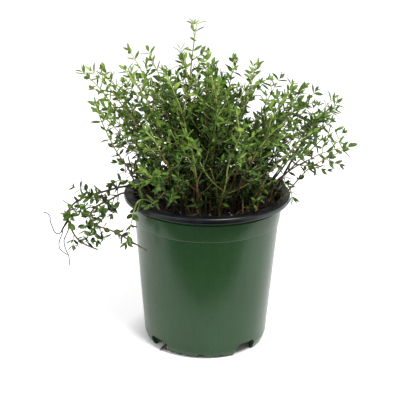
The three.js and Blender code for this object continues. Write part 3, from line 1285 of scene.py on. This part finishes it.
@dataclass
class Spray:
    """A leafy stem in the making: its stalks and its leaves in one mesh."""

    kit: LeafKit
    room: Room
    draws: Draws
    # How much paler and broader its leaves are than elsewhere, and how often a leaf has a tuft beside it
    pale: float = 0.0
    broad: float = 1.0
    tufts: float = 0.32
    leaves: int = 0
    bm: BMesh = field(default_factory=bmesh.new)

    # The values that the mesh carries at its points, and its finishes
    LAYERS = ("age", "tint", "rib", "under")
    FINISHES = (STALK_BARK, LEAF_SKIN)
    # How much thicker joints are, and the powers by which a stalk thins and ages along its length
    SWELL = 0.14
    THINNING = 0.8
    AGEING = 1.5
    GOLDEN_ANGLE = math.radians(137.5)
    # A leaf's usual length, and the distance between the joints of a stalk
    LEAF = 10.3
    INTERNODE = 9.5
    # How far a leaf rolls to each side, how broad it is, and how far its tint strays
    ROLL = 0.75
    BROAD = (0.78, 1.05)
    STRAY = 0.27
    # The plant's heart, and how far from it leaves are at their darkest and at their palest. The darker
    # tint towards the heart is painted shade inside the foliage
    HEART = Vector((0, 0, 125))
    OUTWARDS = (30, 205)
    # Where leaves are darker: from where, to where it is full, and how much darker they are there. Towards
    # the right and the left, and low down, where it is painted shade near the soil
    DARKER_RIGHT = (50, 120, 0.42)
    DARKER_LEFT = (60, 120, 0.16)
    SHADED_LOW = (215, 150, 0.2)
    # The darkest tint of a pair and of a tip's leaves, and how much of the brightness adds to it
    PAIR_TINT = 0.04
    TIP_TINT = 0.14
    TINT_GAIN = 0.6
    # How far the leaves of a pair stray: their turn, their spread, their sag and their size
    TURN_STRAY = 0.3
    SPREAD_STRAY = 0.22
    SAG = (-0.12, 0.1)
    SIZES = (0.82, 1.1)
    # A tuft: its most leaves, the turn from one to the next, their share of the spread, sizes and tint
    TUFT_MOST = 3
    TUFT_TURN = 0.9
    TUFT_SPREAD = 0.55
    TUFT_SIZES = (0.42, 0.66)
    TUFT_TINT = 0.08
    # The pairs that close a stalk: their share of its length, their spread and their size
    TIP_PAIRS = ((0.985, 0.85, 0.86), (1.0, 0.36, 0.7))
    # A shoot's angle with the stalk, how much wider it starts, the distance between its joints, its radii,
    # its tip's age, and the room that it needs round it
    SHOOT_ANGLE = math.radians(48)
    SHOOT_BEND = 0.3
    SHOOT_INTERNODE = 6.7
    SHOOT_RADII = (0.55, 0.3)
    SHOOT_TIP_AGE = 0.1
    SHOOT_ROOM = 1.2

    def __post_init__(self) -> None:
        """Gives the empty mesh the values that its points carry."""
        for name in self.LAYERS:
            self.bm.verts.layers.float.new(name)

    def stalk(self, path: Path, radii: Pair, ages: Pair, steps: int, sides: int) -> None:
        """Adds a stalk with swollen joints, that gets thinner and younger towards its end.

        Args:
            path: The stalk's line.
            radii: Its radius at the start and at the end.
            ages: Its age there, from 0 for green to 1 for dark wood.
            steps: How many stretches it has.
            sides: How many sides it has.
        """
        (base, tip), (old, young) = radii, ages
        age = self.bm.verts.layers.float["age"]
        joints = max(path.length / self.INTERNODE, 1)

        def mark(vert: BMVert, share: float) -> None:
            """Gives a point the stalk's age at its share of the length."""
            vert[age] = old + (young - old) * share**self.AGEING

        def radius(share: float) -> float:
            """The stalk's radius at a share of its length."""
            swell = 1 + self.SWELL * math.cos(2 * math.pi * joints * share) ** 4
            return (base + (tip - base) * share**self.THINNING) * swell

        bar(self.bm, path, radius, steps, sides, mark)

    def leaf(self, root: Vector, way: Vector, along: Vector, length: float, tint: float) -> None:
        """Adds a leaf, if there is room for it.

        Args:
            root: Where it leaves the stalk.
            way: The direction in which it points.
            along: The stalk's direction, to which its upper face turns.
            length: Its length.
            tint: From 0 for the darkest leaves to 1 for the palest.
        """
        draws = self.draws
        upper = (along - way * along.dot(way)).normalized()
        upper = Matrix.Rotation(draws.between(-self.ROLL, self.ROLL), 3, way) @ upper
        turn = Matrix((way.cross(upper), way, upper)).transposed().to_4x4()
        broad = draws.between(*self.BROAD) * self.broad
        master = self.kit.meshes[int(draws.draw() * len(self.kit.meshes))]
        shade = min(max(tint + draws.between(-self.STRAY, self.STRAY), 0), 1)
        end = root + way * length
        if not (self.room.clear(end) and self.room.clear(root.lerp(end, 0.5)) and self.room.holds(end)):
            return
        place = Matrix.Translation(root) @ turn @ Matrix.Diagonal((length * broad, length, length, 1))
        known = len(self.bm.verts)
        self.bm.from_mesh(master)
        self.bm.verts.ensure_lookup_table()
        added = self.bm.verts[known:]
        bmesh.ops.transform(self.bm, matrix=place, verts=added)
        layer = self.bm.verts.layers.float["tint"]
        for vert in added:
            vert[layer] = shade
        self.leaves += 1

    def tint_at(self, place: Vector, darkest: float) -> float:
        """Finds the tint of leaves: dark inside the plant and low down, both as painted shade, darker
        towards the right and the left, and pale at its outside.

        Args:
            place: Where the leaves are.
            darkest: The tint at the plant's heart.

        Returns:
            The tint, which may pass 0 or 1.
        """
        # Painted shade: leaves get darker towards the plant's heart and low down near the soil
        outside = smooth_step(*self.OUTWARDS, (place - self.HEART).length)
        zones = (*self.DARKER_RIGHT, place.x), (*self.DARKER_LEFT, -place.x), (*self.SHADED_LOW, place.z)
        darkening = sum(most * smooth_step(start, full, reach) for start, full, most, reach in zones)
        return darkest + self.TINT_GAIN * (outside - darkening + self.pale)

    def pair(
        self, path: Path, share: float, turn: float, spread: float, length: float, extra: float = 0
    ) -> None:
        """Adds two opposite leaves at a joint, and often tufts of small leaves beside them.

        Args:
            path: The stalk's line.
            share: The joint's share of its length.
            turn: The turn of the first leaf about the stalk.
            spread: The angle of the leaves with the stalk.
            length: The leaves' length.
            extra: How much paler they are than their place makes them.
        """
        draws = self.draws
        point, along = path.at(share)
        tint = self.tint_at(point, self.PAIR_TINT) + extra
        for half in (0, math.pi):
            side = turn + half + draws.between(-self.TURN_STRAY, self.TURN_STRAY)
            opened = spread + draws.between(-self.SPREAD_STRAY, self.SPREAD_STRAY)
            way = (leaving(along, side, opened) + UP * draws.between(*self.SAG)).normalized()
            self.leaf(point, way, along, length * draws.between(*self.SIZES), tint)
            if draws.draw() < self.tufts:
                for k in range(1 + int(draws.draw() * self.TUFT_MOST)):
                    stray = draws.between(-self.TURN_STRAY, self.TURN_STRAY)
                    aside = side + (k - 1) * self.TUFT_TURN + stray
                    small = leaving(along, aside, opened * self.TUFT_SPREAD)
                    size = length * draws.between(*self.TUFT_SIZES)
                    self.leaf(point, small, along, size, tint + self.TUFT_TINT)

    def tip(self, path: Path, length: float, extra: float) -> None:
        """Adds the young leaves that close a stalk's end.

        Args:
            path: The stalk's line.
            length: The length that the leaves' sizes are a share of.
            extra: How much paler they are than their place makes them.
        """
        for share, spread, size in self.TIP_PAIRS:
            point, along = path.at(share)
            turn = self.draws.between(0, math.pi)
            tint = self.tint_at(point, self.TIP_TINT) + extra
            for half in (0, math.pi):
                way = leaving(along, turn + half, spread + self.draws.between(-0.1, 0.1))
                self.leaf(point, way, along, length * size, tint)

    def shoot(self, root: Vector, along: Vector, turn: float, length: float, age: float) -> None:
        """Adds a side shoot that rises a little, with its pairs of leaves, if there is room for it.

        Args:
            root: Where it leaves the stalk.
            along: The stalk's direction.
            turn: The turn about the stalk.
            length: The shoot's length.
            age: Its age at its root.
        """
        end = root + leaving(along, turn, self.SHOOT_ANGLE) * length
        middle = root + leaving(along, turn, self.SHOOT_ANGLE + self.SHOOT_BEND) * length * 0.5
        path = Path.arched(root, middle, end)
        if not all(self.room.clear(path.at(share)[0], self.SHOOT_ROOM) for share in (0.3, 0.6, 1.0)):
            return
        self.stalk(path, self.SHOOT_RADII, (age, self.SHOOT_TIP_AGE), steps=5, sides=5)
        joints = max(round(length / self.SHOOT_INTERNODE), 2)
        phase = self.draws.between(0, math.pi)
        for k in range(1, joints):
            share = k / joints
            size = self.LEAF * (0.78 + 0.2 * math.sin(math.pi * share))
            self.pair(path, share, phase + k * math.pi / 2, 1.02 - 0.2 * share, size, 0.1 * share)
        self.tip(path, self.LEAF * 0.9, 0.05)

    def done(self, name: str) -> bpy.types.Object:
        """The finished spray as an object."""
        return finished(self.bm, name, self.FINISHES, None)


def gathered(sprays: Sequence[Spray], name: str) -> bpy.types.Object:
    """Makes several sprays one object.

    Args:
        sprays: The sprays, whose meshes are freed.
        name: The object's name.

    Returns:
        The object, linked to the scene.
    """
    whole = bmesh.new()
    for layer in Spray.LAYERS:
        whole.verts.layers.float.new(layer)
    for spray in sprays:
        mesh = bpy.data.meshes.new(name)
        spray.bm.to_mesh(mesh)
        spray.bm.free()
        whole.from_mesh(mesh)
        bpy.data.meshes.remove(mesh)
    return finished(whole, name, Spray.FINISHES, None)


@dataclass(frozen=True)
class UprightStem:
    """An upright stem, by the place of its tip and the way it grows."""

    x: float
    y: float
    z: float
    # How far its stalk is arched up, or sags where it is less than 0, as a share of its length
    bow: float
    # The share of its stalk, from its foot, that is bare
    bare: float = 0.22
    # Its age and its radius at its foot. The age is high, so that the foot is near black: old wood, and
    # painted shade near the soil
    wood: float = 0.95
    thick: float = 1.25

    # How far the foot stands from the axis: a share of the tip's distance, and at most so much
    FOOT_SHARE = 0.36
    FOOT_REACH = 43

    def path(self, foot_height: float) -> Path:
        """Draws the stalk's line.

        Args:
            foot_height: The height of its foot in the soil.

        Returns:
            The line, from its foot to its tip.
        """
        out = Vector((self.x, self.y, 0)).normalized()
        reach = math.hypot(self.x, self.y)
        foot_reach = min(reach * self.FOOT_SHARE, self.FOOT_REACH)
        foot = out * foot_reach + UP * foot_height
        tip = Vector((self.x, self.y, self.z))
        middle = foot.lerp(tip, 0.5) + out * self.bow * (foot.z - tip.z)
        middle.z += self.bow * (reach - foot_reach)
        return Path.arched(foot, middle, tip)


@dataclass(frozen=True)
class TrailingStem:
    """A stem by the points that it passes: one that leans over the rim, or a branch in front."""

    points: tuple[Triple, ...]
    # The places of its pairs of leaves, as shares of its length
    leaves: tuple[float, ...]
    # Each side shoot's place and its length
    shoots: tuple[Pair, ...] = ()
    # Each root thread's place and the points that it passes
    roots: tuple[tuple[float, tuple[Triple, ...]], ...] = ()
    # Its radius at its foot and at its end, and its age at both
    thick: float = 1.15
    end_thick: float = 0.5
    ages: Pair = (0.68, 0.3)
    # Whether it has no leaves at its end
    broken: bool = False


@dataclass(frozen=True)
class Habit:
    """How a group of trailing stems is drawn."""

    seed: int
    pale: float
    broad: float
    tufts: float
    steps: int
    sides: int
    # The size of its leaves and of its tip's leaves, as shares of the usual one, and how pale the tip is
    leaf: float
    tip: float
    tip_pale: float


@dataclass
class Thyme:
    """The plant: the stems of the CAD model, and thinner and younger growth between and around them."""

    bed: SoilBed
    # How deep the stalks' feet are buried, and how far a stalk bends to a side
    buried: float = 9.0
    bend: float = 1.5
    # A stalk's radius and its age at its tip
    tip_thick: float = 0.42
    tip_age: float = 0.02
    # How many side shoots are drawn for a stalk, and of how many in a row only one or two are kept
    shoots_drawn: int = 12
    stretch: int = 3
    # The bare share from which only one is kept, and the share of the stalk up to which shoots leave it
    sparse_from: float = 0.37
    shoot_to: float = 0.92
    # The mean length of the shoots at the foot and at the tip
    shoot_long: float = 44.0
    shoot_short: float = 14.0
    # Where the rows of draws start
    upright_seed: int = 5000
    shoot_seed: int = 100
    lesser_seed: int = 8000
    lesser_shoot_seed: int = 8100
    young_seed: int = 77
    inner_seed: int = 310
    # Young stems: how many, how pale, how many are in front and how near the middle, and their lengths
    young: int = 58
    young_pale: float = 0.16
    young_in_front: float = 0.72
    young_depth: float = 0.62
    young_length: Pair = (18.0, 50.0)
    young_internode: float = 7.5
    young_margin: float = 6.0
    # Inner stems: how many, how pale, and how far out and how high they reach. Their leaves are darker
    # than elsewhere, as painted shade inside the plant
    inner: int = 26
    inner_pale: float = -0.2
    inner_reach: float = 74.0
    inner_height: float = 286.0
    inner_dome: float = 0.0065
    inner_lower: float = 44.0
    upright: tuple[UprightStem, ...] = (
        UprightStem(-122, 8, 272, 0.15, 0.42),
        UprightStem(-109, -28, 281, 0.18, 0.38),
        UprightStem(-103, 38, 266, 0.15, 0.45),
        UprightStem(-76, -48, 287, 0.15, 0.22),
        UprightStem(-76, 4, 294, 0.12, 0.22),
        UprightStem(-59, 30, 288, 0.15, 0.22),
        UprightStem(-105, -42, 253, -0.11, 0.42),
        UprightStem(-12, 2, 324, -0.1, 0.22),
        UprightStem(-28, 42, 288, 0.05, 0.22),
        UprightStem(-38, -58, 286, 0.18, 0.22, 0.7, 1.45),
        UprightStem(-3, -36, 296, 0.09, 0.22),
        UprightStem(24, 24, 282, 0.08, 0.22),
        UprightStem(10, -66, 280, 0.15, 0.22, 0.45, 1.2),
        UprightStem(46, -14, 286, 0.11, 0.22),
        UprightStem(70, 34, 262, 0.12, 0.3),
        UprightStem(77, -40, 268, 0.15, 0.34),
        UprightStem(92, 8, 260, 0.11, 0.36),
        UprightStem(107, 52, 245, 0.14, 0.5),
        UprightStem(124, 6, 245, 0.03, 0.56, 1.0, 1.4),
        UprightStem(121, -36, 230, 0.08, 0.5),
        UprightStem(146, 44, 192, 0.2, 0.56),
        UprightStem(-56, -86, 240, 0.15, 0.22),
        UprightStem(-18, -93, 238, 0.18, 0.22, 0.68, 1.4),
        UprightStem(32, -90, 246, 0.15, 0.22, 0.4, 1.1),
        UprightStem(62, -80, 243, 0.15, 0.31),
        UprightStem(96, -64, 236, 0.12, 0.48, 0.6),
        UprightStem(-58, -92, 206, 0.09, 0.34),
        UprightStem(-84, 78, 246, 0.15, 0.3),
        UprightStem(-42, 92, 256, 0.15, 0.22),
        UprightStem(4, 96, 262, 0.12, 0.22),
        UprightStem(48, 86, 260, 0.15, 0.22),
        UprightStem(84, 84, 232, 0.15, 0.22),
        UprightStem(-94, 62, 240, 0.09, 0.45),
        UprightStem(120, 74, 216, 0.18, 0.5),
    )
    trailing: tuple[TrailingStem, ...] = (
        TrailingStem(
            points=(
                (-46, 8, 132), (-56, 6, 149), (-70, 3, 158), (-85, -1, 158.5), (-99, -6, 156),
                (-115, -12, 153), (-127, -18, 149), (-134, -22, 143), (-136, -26, 135), (-133, -29, 126),
                (-129, -31, 118), (-121, -34, 111), (-106, -38, 106),
            ),
            leaves=(0.34, 0.39, 0.44, 0.49, 0.54, 0.59, 0.64, 0.69, 0.75, 0.87),
            shoots=(
                (0.27, 8), (0.4, 15), (0.45, 16), (0.5, 20), (0.54, 14), (0.6, 16), (0.64, 12), (0.67, 15),
                (0.83, 11), (0.9, 8),
            ),
            roots=(
                (0.74, ((-142, -32, 118), (-144, -33, 108), (-140, -34, 101), (-136, -35, 99))),
                (0.76, ((-139, -32, 114), (-139, -34, 104), (-134, -36, 97), (-134, -36, 88))),
                (0.73, ((-144, -40, 122), (-149, -50, 137), (-150, -60, 150), (-152, -72, 156))),
            ),
            thick=1.5,
            end_thick=0.75,
            ages=(0.72, 0.6),
            broken=True,
        ),
        TrailingStem(
            points=(
                (-44, -14, 132), (-55, -16, 150), (-68, -19, 159), (-83, -22, 159), (-94, -27, 154),
                (-105, -32, 150), (-112, -37, 144), (-112, -41, 137), (-104, -45, 133), (-94, -48, 131),
                (-82, -52, 127), (-70, -54, 120), (-57, -54, 112),
            ),
            leaves=(0.36, 0.42, 0.5, 0.55, 0.6, 0.65, 0.7, 0.82),
            shoots=(
                (0.35, 20), (0.38, 22), (0.42, 24), (0.45, 22), (0.48, 24), (0.51, 20),
                (0.54, 20), (0.57, 20), (0.6, 18), (0.64, 16), (0.68, 14), (0.74, 10),
            ),
            thick=1.25,
            end_thick=0.65,
            ages=(0.72, 0.6),
            broken=True,
        ),
        TrailingStem(
            points=(
                (-38, -33, 132), (-46, -37, 148), (-57, -44, 160), (-65, -53, 162), (-69, -60, 154),
                (-71, -63, 144), (-74, -63, 133), (-76, -61, 122),
            ),
            leaves=(0.45, 0.56, 0.66, 0.78, 0.9, 0.97),
            shoots=((0.5, 14),),
            thick=0.85,
            ages=(0.3, 0.0),
        ),
    )
    # Lesser stems, which fill places between the main ones
    lesser: tuple[UprightStem, ...] = (
        UprightStem(-104, -16, 238, 0.12, 0.2, 0.6, 1.0),
        UprightStem(-98, 22, 226, 0.12, 0.2, 0.6, 1.0),
        UprightStem(38, -26, 258, 0.1, 0.4, 0.6, 1.0),
        UprightStem(86, -12, 248, 0.12, 0.46, 0.8, 1.0),
        UprightStem(119, -4, 252, 0.05, 0.62, 0.9, 1.0),
        UprightStem(-24, -8, 290, 0.05, 0.6, 0.9, 1.0),
    )
    # Small stems that lean over the rim at the right and at the left
    leaning: tuple[TrailingStem, ...] = (
        TrailingStem(
            points=(
                (56, -16, 140), (64, -22, 157), (70, -27, 169), (75, -30, 175), (79.5, -33, 170),
                (82, -35, 162),
            ),
            leaves=(0.36, 0.48, 0.56, 0.64, 0.72, 0.8, 0.9),
            thick=0.8,
            ages=(0.6, 0.1),
        ),
        TrailingStem(
            points=((-56, -12, 140), (-64, -16, 156), (-74, -20, 168), (-84, -23, 173), (-92, -26, 170)),
            leaves=(0.34, 0.46, 0.58, 0.7, 0.82, 0.92),
            thick=0.8,
            ages=(0.6, 0.1),
        ),
        TrailingStem(
            points=((-52, 14, 140), (-62, 14, 158), (-72, 12, 172), (-82, 8, 180)),
            leaves=(0.4, 0.54, 0.68, 0.84),
            thick=0.8,
            ages=(0.5, 0.1),
        ),
        # Bare broken branches in front
        TrailingStem(
            points=((-41, -16, 139), (-34, -20, 152), (-22, -24, 172), (-11, -28, 191)),
            leaves=(),
            thick=1.7,
            end_thick=1.2,
            ages=(0.66, 0.5),
            broken=True,
        ),
        TrailingStem(
            points=((-41, -13, 139), (-35, -16, 151), (-26.5, -16, 163.5)),
            leaves=(),
            thick=1.4,
            end_thick=1.1,
            ages=(0.62, 0.52),
            broken=True,
        ),
        # Pale young stems in front
        TrailingStem(
            points=(
                (-16, -31, 140), (-18.5, -34, 150), (-22, -38, 167), (-28, -44, 186), (-33.5, -48, 199),
            ),
            leaves=(0.42, 0.66, 0.84),
            thick=0.66,
            ages=(0.26, 0.12),
        ),
        TrailingStem(
            points=((12, -28, 140), (10.5, -32, 157), (8.5, -38, 174), (2.5, -44, 193)),
            leaves=(0.36, 0.6, 0.82),
            thick=0.6,
            ages=(0.3, 0.15),
        ),
        # A dark stem and a bare one at the right
        TrailingStem(
            points=(
                (59, -3, 139), (68, -8, 160), (74.5, -14, 178), (85.5, -24, 205), (94.5, -32, 227),
                (100, -36, 240),
            ),
            leaves=(0.8, 0.88, 0.95),
            thick=1.35,
            end_thick=0.7,
            ages=(1.0, 0.7),
        ),
        TrailingStem(
            points=(
                (62, -16, 139), (71, -21, 155), (81, -26, 168.5), (97.5, -30, 190), (120, -32, 204),
                (135, -34, 214),
            ),
            leaves=(0.44, 0.58, 0.78, 0.92),
            thick=0.95,
            end_thick=0.45,
            ages=(0.62, 0.3),
        ),
    )
    trailing_habit: Habit = Habit(6000, 0.04, 1.36, 0.32, 36, 6, 1.08, 0.9, 0.1)
    leaning_habit: Habit = Habit(7000, -0.1, 1.15, 0.6, 14, 5, 1.0, 1.1, 0.05)

    def side_shoots(self, stem: UprightStem, draws: Draws) -> list[Triple]:
        """Draws the side shoots of an upright stem by the CAD model's rule.

        Args:
            stem: The stem.
            draws: Where its shoots are drawn from.

        Returns:
            Each shoot's share of the stalk's length, its turn about the stalk and its length.
        """
        drawn = []
        for i in range(self.shoots_drawn):
            share = stem.bare + (self.shoot_to - stem.bare) * (i + draws.draw()) / self.shoots_drawn
            turn = i * Spray.GOLDEN_ANGLE + draws.draw()
            long = self.shoot_long + (self.shoot_short - self.shoot_long) * share
            drawn.append((share, turn, long * (0.75 + 0.5 * draws.draw()), draws.draw()))
        kept = 1 if stem.bare >= self.sparse_from else 2
        shoots = []
        for first in range(0, self.shoots_drawn, self.stretch):
            ranked = sorted(drawn[first : first + self.stretch], key=lambda shoot: shoot[3])
            shoots += [shoot[:3] for shoot in ranked[:kept]]
        return shoots

    def grow_upright(
        self, kit: LeafKit, room: Room, stem: UprightStem, draws: Draws, shoots: Draws, pale: float = 0
    ) -> Spray:
        """Grows an upright stem with its pairs of leaves and its side shoots.

        Args:
            kit: The leaves' meshes.
            room: Where leaves may be.
            stem: The stem.
            draws: Where its bends and leaves are drawn from.
            shoots: Where its side shoots are drawn from.
            pale: How much paler its leaves are than elsewhere.

        Returns:
            The stem as a spray.
        """
        spray = Spray(kit, room, draws, pale)
        path = stem.path(self.bed.top - self.buried).bent(draws, self.bend)
        spray.stalk(path, (stem.thick, self.tip_thick), (stem.wood, self.tip_age), steps=26, sides=6)
        joints = round(path.length / Spray.INTERNODE)
        phase = draws.between(0, math.pi)
        for k in range(1, joints):
            share = k / joints
            if draws.draw() > smooth_step(stem.bare - 0.12, stem.bare + 0.14, share):
                continue
            size = 0.72 + 0.34 * smooth_step(0.2, 0.7, share) - 0.18 * smooth_step(0.86, 1, share)
            spread = 1.25 - 0.35 * share
            extra = 0.1 * smooth_step(0.7, 1, share)
            spray.pair(path, share, phase + k * math.pi / 2, spread, Spray.LEAF * size, extra)
        spray.tip(path, Spray.LEAF * 1.16, 0.06)
        for share, turn, length in self.side_shoots(stem, shoots):
            point, along = path.at(share)
            spray.shoot(point, along, turn, length, 0.12 + stem.wood * (1 - share) * 0.85)
        return spray

    def grow_trailing(
        self, kit: LeafKit, room: Room, stem: TrailingStem, habit: Habit, number: int
    ) -> Spray:
        """Grows a stem along its points, with its shoots and its root threads.

        Args:
            kit: The leaves' meshes.
            room: Where leaves may be.
            stem: The stem.
            habit: How its group is drawn.
            number: Its number in the group.

        Returns:
            The stem as a spray.
        """
        path = Path.through([Vector(point) for point in stem.points])
        spray = Spray(kit, room, Draws(habit.seed + number), habit.pale, habit.broad, habit.tufts)
        spray.stalk(path, (stem.thick, stem.end_thick), stem.ages, habit.steps, habit.sides)
        for k, share in enumerate(stem.leaves):
            spray.pair(path, share, math.pi / 4 + k * math.pi / 2, 1.0, Spray.LEAF * habit.leaf, 0.05)
        for k, (share, length) in enumerate(stem.shoots):
            point, along = path.at(share)
            turn = k * Spray.GOLDEN_ANGLE
            if leaving(along, turn, Spray.SHOOT_ANGLE).z > 0.3:
                turn += math.pi
            spray.shoot(point, along, turn, length, 0.4)
        if not stem.broken:
            spray.tip(path, Spray.LEAF * habit.tip, habit.tip_pale)
        for start, points in stem.roots:
            thread = Path.through([path.at(start)[0], *(Vector(point) for point in points)])
            spray.stalk(thread.bent(spray.draws, 1.4), (0.62, 0.44), (1.0, 0.98), steps=26, sides=5)
        return spray

    def grow_inner(self, kit: LeafKit, room: Room, number: int) -> Spray:
        """Grows a thinner stem between the others, which helps to fill the plant's middle.

        Args:
            kit: The leaves' meshes.
            room: Where leaves may be.
            number: The stem's number.

        Returns:
            The stem as a spray.
        """
        draws = Draws(self.inner_seed + number)
        reach = self.inner_reach * math.sqrt(draws.between(0.01, 1))
        turn = number * Spray.GOLDEN_ANGLE + draws.between(-0.3, 0.3)
        height = self.inner_height - self.inner_dome * reach**2 - draws.between(0, self.inner_lower)
        # The stalk's foot is old dark wood, taken darker still as painted shade near the soil
        stem = UprightStem(
            reach * math.cos(turn), reach * math.sin(turn), height, bow=draws.between(0.04, 0.16),
            bare=0.34, wood=draws.between(0.75, 1.0), thick=0.9,
        )
        shoots = Draws(self.inner_seed - 1 - number)
        return self.grow_upright(kit, room, stem, draws, shoots, self.inner_pale)

    def grow_young(self, kit: LeafKit, room: Room, number: int) -> Spray:
        """Grows a short young stem, more often in the front half of the pot.

        Args:
            kit: The leaves' meshes.
            room: Where leaves may be.
            number: The stem's number.

        Returns:
            The stem as a spray.
        """
        draws = Draws(self.young_seed + number)
        spray = Spray(kit, room, draws, self.young_pale)
        reach = (self.bed.edge - self.young_margin) * math.sqrt(draws.between(0.12, 1))
        in_front = draws.draw() < self.young_in_front
        turn = draws.between(-math.pi, 0) if in_front else draws.between(0, math.pi)
        out = Vector((math.cos(turn), math.sin(turn), 0))
        foot = out * reach
        foot.y *= self.young_depth if foot.y < 0 else 1
        foot.z = self.bed.height_at(foot.x, foot.y) - 1
        length = draws.between(*self.young_length) * (1 - 0.3 * smooth_step(20, 60, foot.x))
        lean = out * draws.between(-0.1, 0.75) * length
        tip = foot + lean + UP * length * draws.between(0.75, 1)
        middle = foot + UP * length * 0.5 + lean * 0.2
        path = Path.arched(foot, middle, tip).bent(draws, 1.2)
        radii, ages = (draws.between(0.55, 0.95), 0.35), (draws.between(0.75, 1.0), 0.3)
        spray.stalk(path, radii, ages, steps=10, sides=5)
        joints = max(round(path.length / self.young_internode), 3)
        phase = draws.between(0, math.pi)
        for k in range(2, joints):
            share = k / joints
            size = Spray.LEAF * draws.between(0.62, 0.95)
            spray.pair(path, share, phase + k * math.pi / 2, 1.1, size, draws.between(-0.05, 0.3))
        spray.tip(path, Spray.LEAF * 0.85, 0.05)
        return spray

    def build(self) -> list[bpy.types.Object]:
        """Grows all the stems.

        Returns:
            A piece for each stem of the CAD model, then the young and the inner growth.
        """
        kit, room = LeafKit(), Room(self.bed)
        made, leaves = [], 0
        for number, stem in enumerate(self.upright):
            draws, shoots = Draws(self.upright_seed + number), Draws(self.shoot_seed + number)
            spray = self.grow_upright(kit, room, stem, draws, shoots)
            name = f"thyme_stem_{number + 1:02d}"
            made.append(riding(spray.done(f"leafy_{name}"), Slot.PLANT, name))
            leaves += spray.leaves
        for number, stem in enumerate(self.trailing):
            spray = self.grow_trailing(kit, room, stem, self.trailing_habit, number)
            name = f"trailing_stem_{number + 1}"
            made.append(riding(spray.done(f"leafy_{name}"), Slot.PLANT, name))
            leaves += spray.leaves
        young = [self.grow_young(kit, room, number) for number in range(self.young)]
        for number, stem in enumerate(self.leaning):
            young.append(self.grow_trailing(kit, room, stem, self.leaning_habit, number))
        inner = [self.grow_inner(kit, room, number) for number in range(self.inner)]
        for number, stem in enumerate(self.lesser):
            draws, shoots = Draws(self.lesser_seed + number), Draws(self.lesser_shoot_seed + number)
            inner.append(self.grow_upright(kit, room, stem, draws, shoots))
        for name, sprays in (("young_growth", young), ("inner_growth", inner)):
            made.append(riding(gathered(sprays, name), Slot.PLANT))
            leaves += sum(spray.leaves for spray in sprays)
        kit.clear_up()
        log.info("%d leaves", leaves)
        return made


# ---------------------------------------------------------------- studio


@dataclass(frozen=True)
class Lamp:
    """A square soft light: its place and its size in metres, and its power in watts."""

    name: str
    place: Triple
    size: float
    power: float


@dataclass
class Studio:
    """A white floor, soft lights and the camera at the photograph's place."""

    # The camera's place in metres, how far it is turned down and rolled, and its lens
    camera_place: Triple = (0.00108, -1.0814, 0.5228)
    camera_down: float = 0.3424
    camera_roll: float = 0.0154
    focal_pixels: float = 1150.0
    image_pixels: float = 416.0
    sensor: float = 36.0
    sky: float = 0.5
    # The point that the lamps face, in metres
    aim: Triple = (0, 0, 0.15)
    lamps: tuple[Lamp, ...] = (
        Lamp("key_light", (0.5, -0.7, 1.6), 0.6, 38),
        Lamp("fill_light", (-1.2, -0.9, 1.1), 1.0, 8),
    )
    # Half the sizes of the floor, and the middle and half the sizes of the dark card, in millimetres
    floor_reach: Triple = (6000, 6000, 1)
    card_place: Triple = (20, -660, 1)
    card_reach: Triple = (460, 510, 1)

    def sheet(self, name: str, place: Triple, reach: Triple, finish: Finish) -> bpy.types.Object:
        """Lays a level sheet.

        Args:
            name: Its name.
            place: Its middle, in millimetres.
            reach: Half its sizes, in millimetres.
            finish: Its finish.

        Returns:
            The sheet.
        """
        bm = bmesh.new()
        matrix = Matrix.Translation(place) @ Matrix.Diagonal((*reach, 1))
        bmesh.ops.create_grid(bm, x_segments=1, y_segments=1, size=1, matrix=matrix)
        return finished(bm, name, (finish,))

    def light(self, lamp: Lamp) -> None:
        """Hangs a lamp so that it faces the object.

        Args:
            lamp: The lamp.
        """
        bulb = bpy.data.lights.new(lamp.name, "AREA")
        bulb.shape, bulb.size, bulb.energy = "SQUARE", lamp.size, lamp.power
        holder = bpy.data.objects.new(lamp.name, bulb)
        holder.location = lamp.place
        way = Vector(self.aim) - Vector(lamp.place)
        holder.rotation_euler = way.to_track_quat("-Z", "Y").to_euler()
        bpy.context.scene.collection.objects.link(holder)

    def camera(self) -> None:
        """Sets up the camera, turned down and rolled as the photograph's was."""
        lens = bpy.data.cameras.new("photo_camera")
        lens.sensor_width = self.sensor
        lens.lens = self.focal_pixels / self.image_pixels * self.sensor
        camera = bpy.data.objects.new("photo_camera", lens)
        down = Matrix.Rotation(math.pi / 2 - self.camera_down, 4, "X")
        rolled = Matrix.Rotation(self.camera_roll, 4, "Z")
        camera.matrix_world = Matrix.Translation(self.camera_place) @ (down @ rolled)
        bpy.context.scene.collection.objects.link(camera)
        bpy.context.scene.camera = camera

    def build(self) -> list[bpy.types.Object]:
        """Sets the studio up.

        Returns:
            The floor, and a dark card in front that only shows in the pot's gloss.
        """
        scene = bpy.context.scene
        scene.view_settings.view_transform = "Standard"
        world = bpy.data.worlds.new("studio")
        world.use_nodes = True
        sky = world.node_tree.nodes["Background"]
        sky.inputs["Color"].default_value = (1, 1, 1, 1)
        sky.inputs["Strength"].default_value = self.sky
        scene.world = world
        for lamp in self.lamps:
            self.light(lamp)
        self.camera()
        floor = self.sheet("studio_floor", (0, 0, 0), self.floor_reach, STUDIO_FLOOR)
        card = self.sheet("dark_card", self.card_place, self.card_reach, DARK_CARD)
        card.visible_camera = card.visible_diffuse = card.visible_shadow = False
        return [floor, card]


def main() -> None:
    """Builds the pot, the soil, the plant and the studio."""
    logging.basicConfig(level=logging.INFO, format="%(name)s: %(message)s")
    pot = Pot()
    bed = SoilBed(pot)
    for group in (pot, bed, Litter(bed), Thyme(bed), Studio()):
        for piece in group.build():
            log.info("%s: %d faces", piece.name, len(piece.data.polygons))


if __name__ == "__main__":
    main()
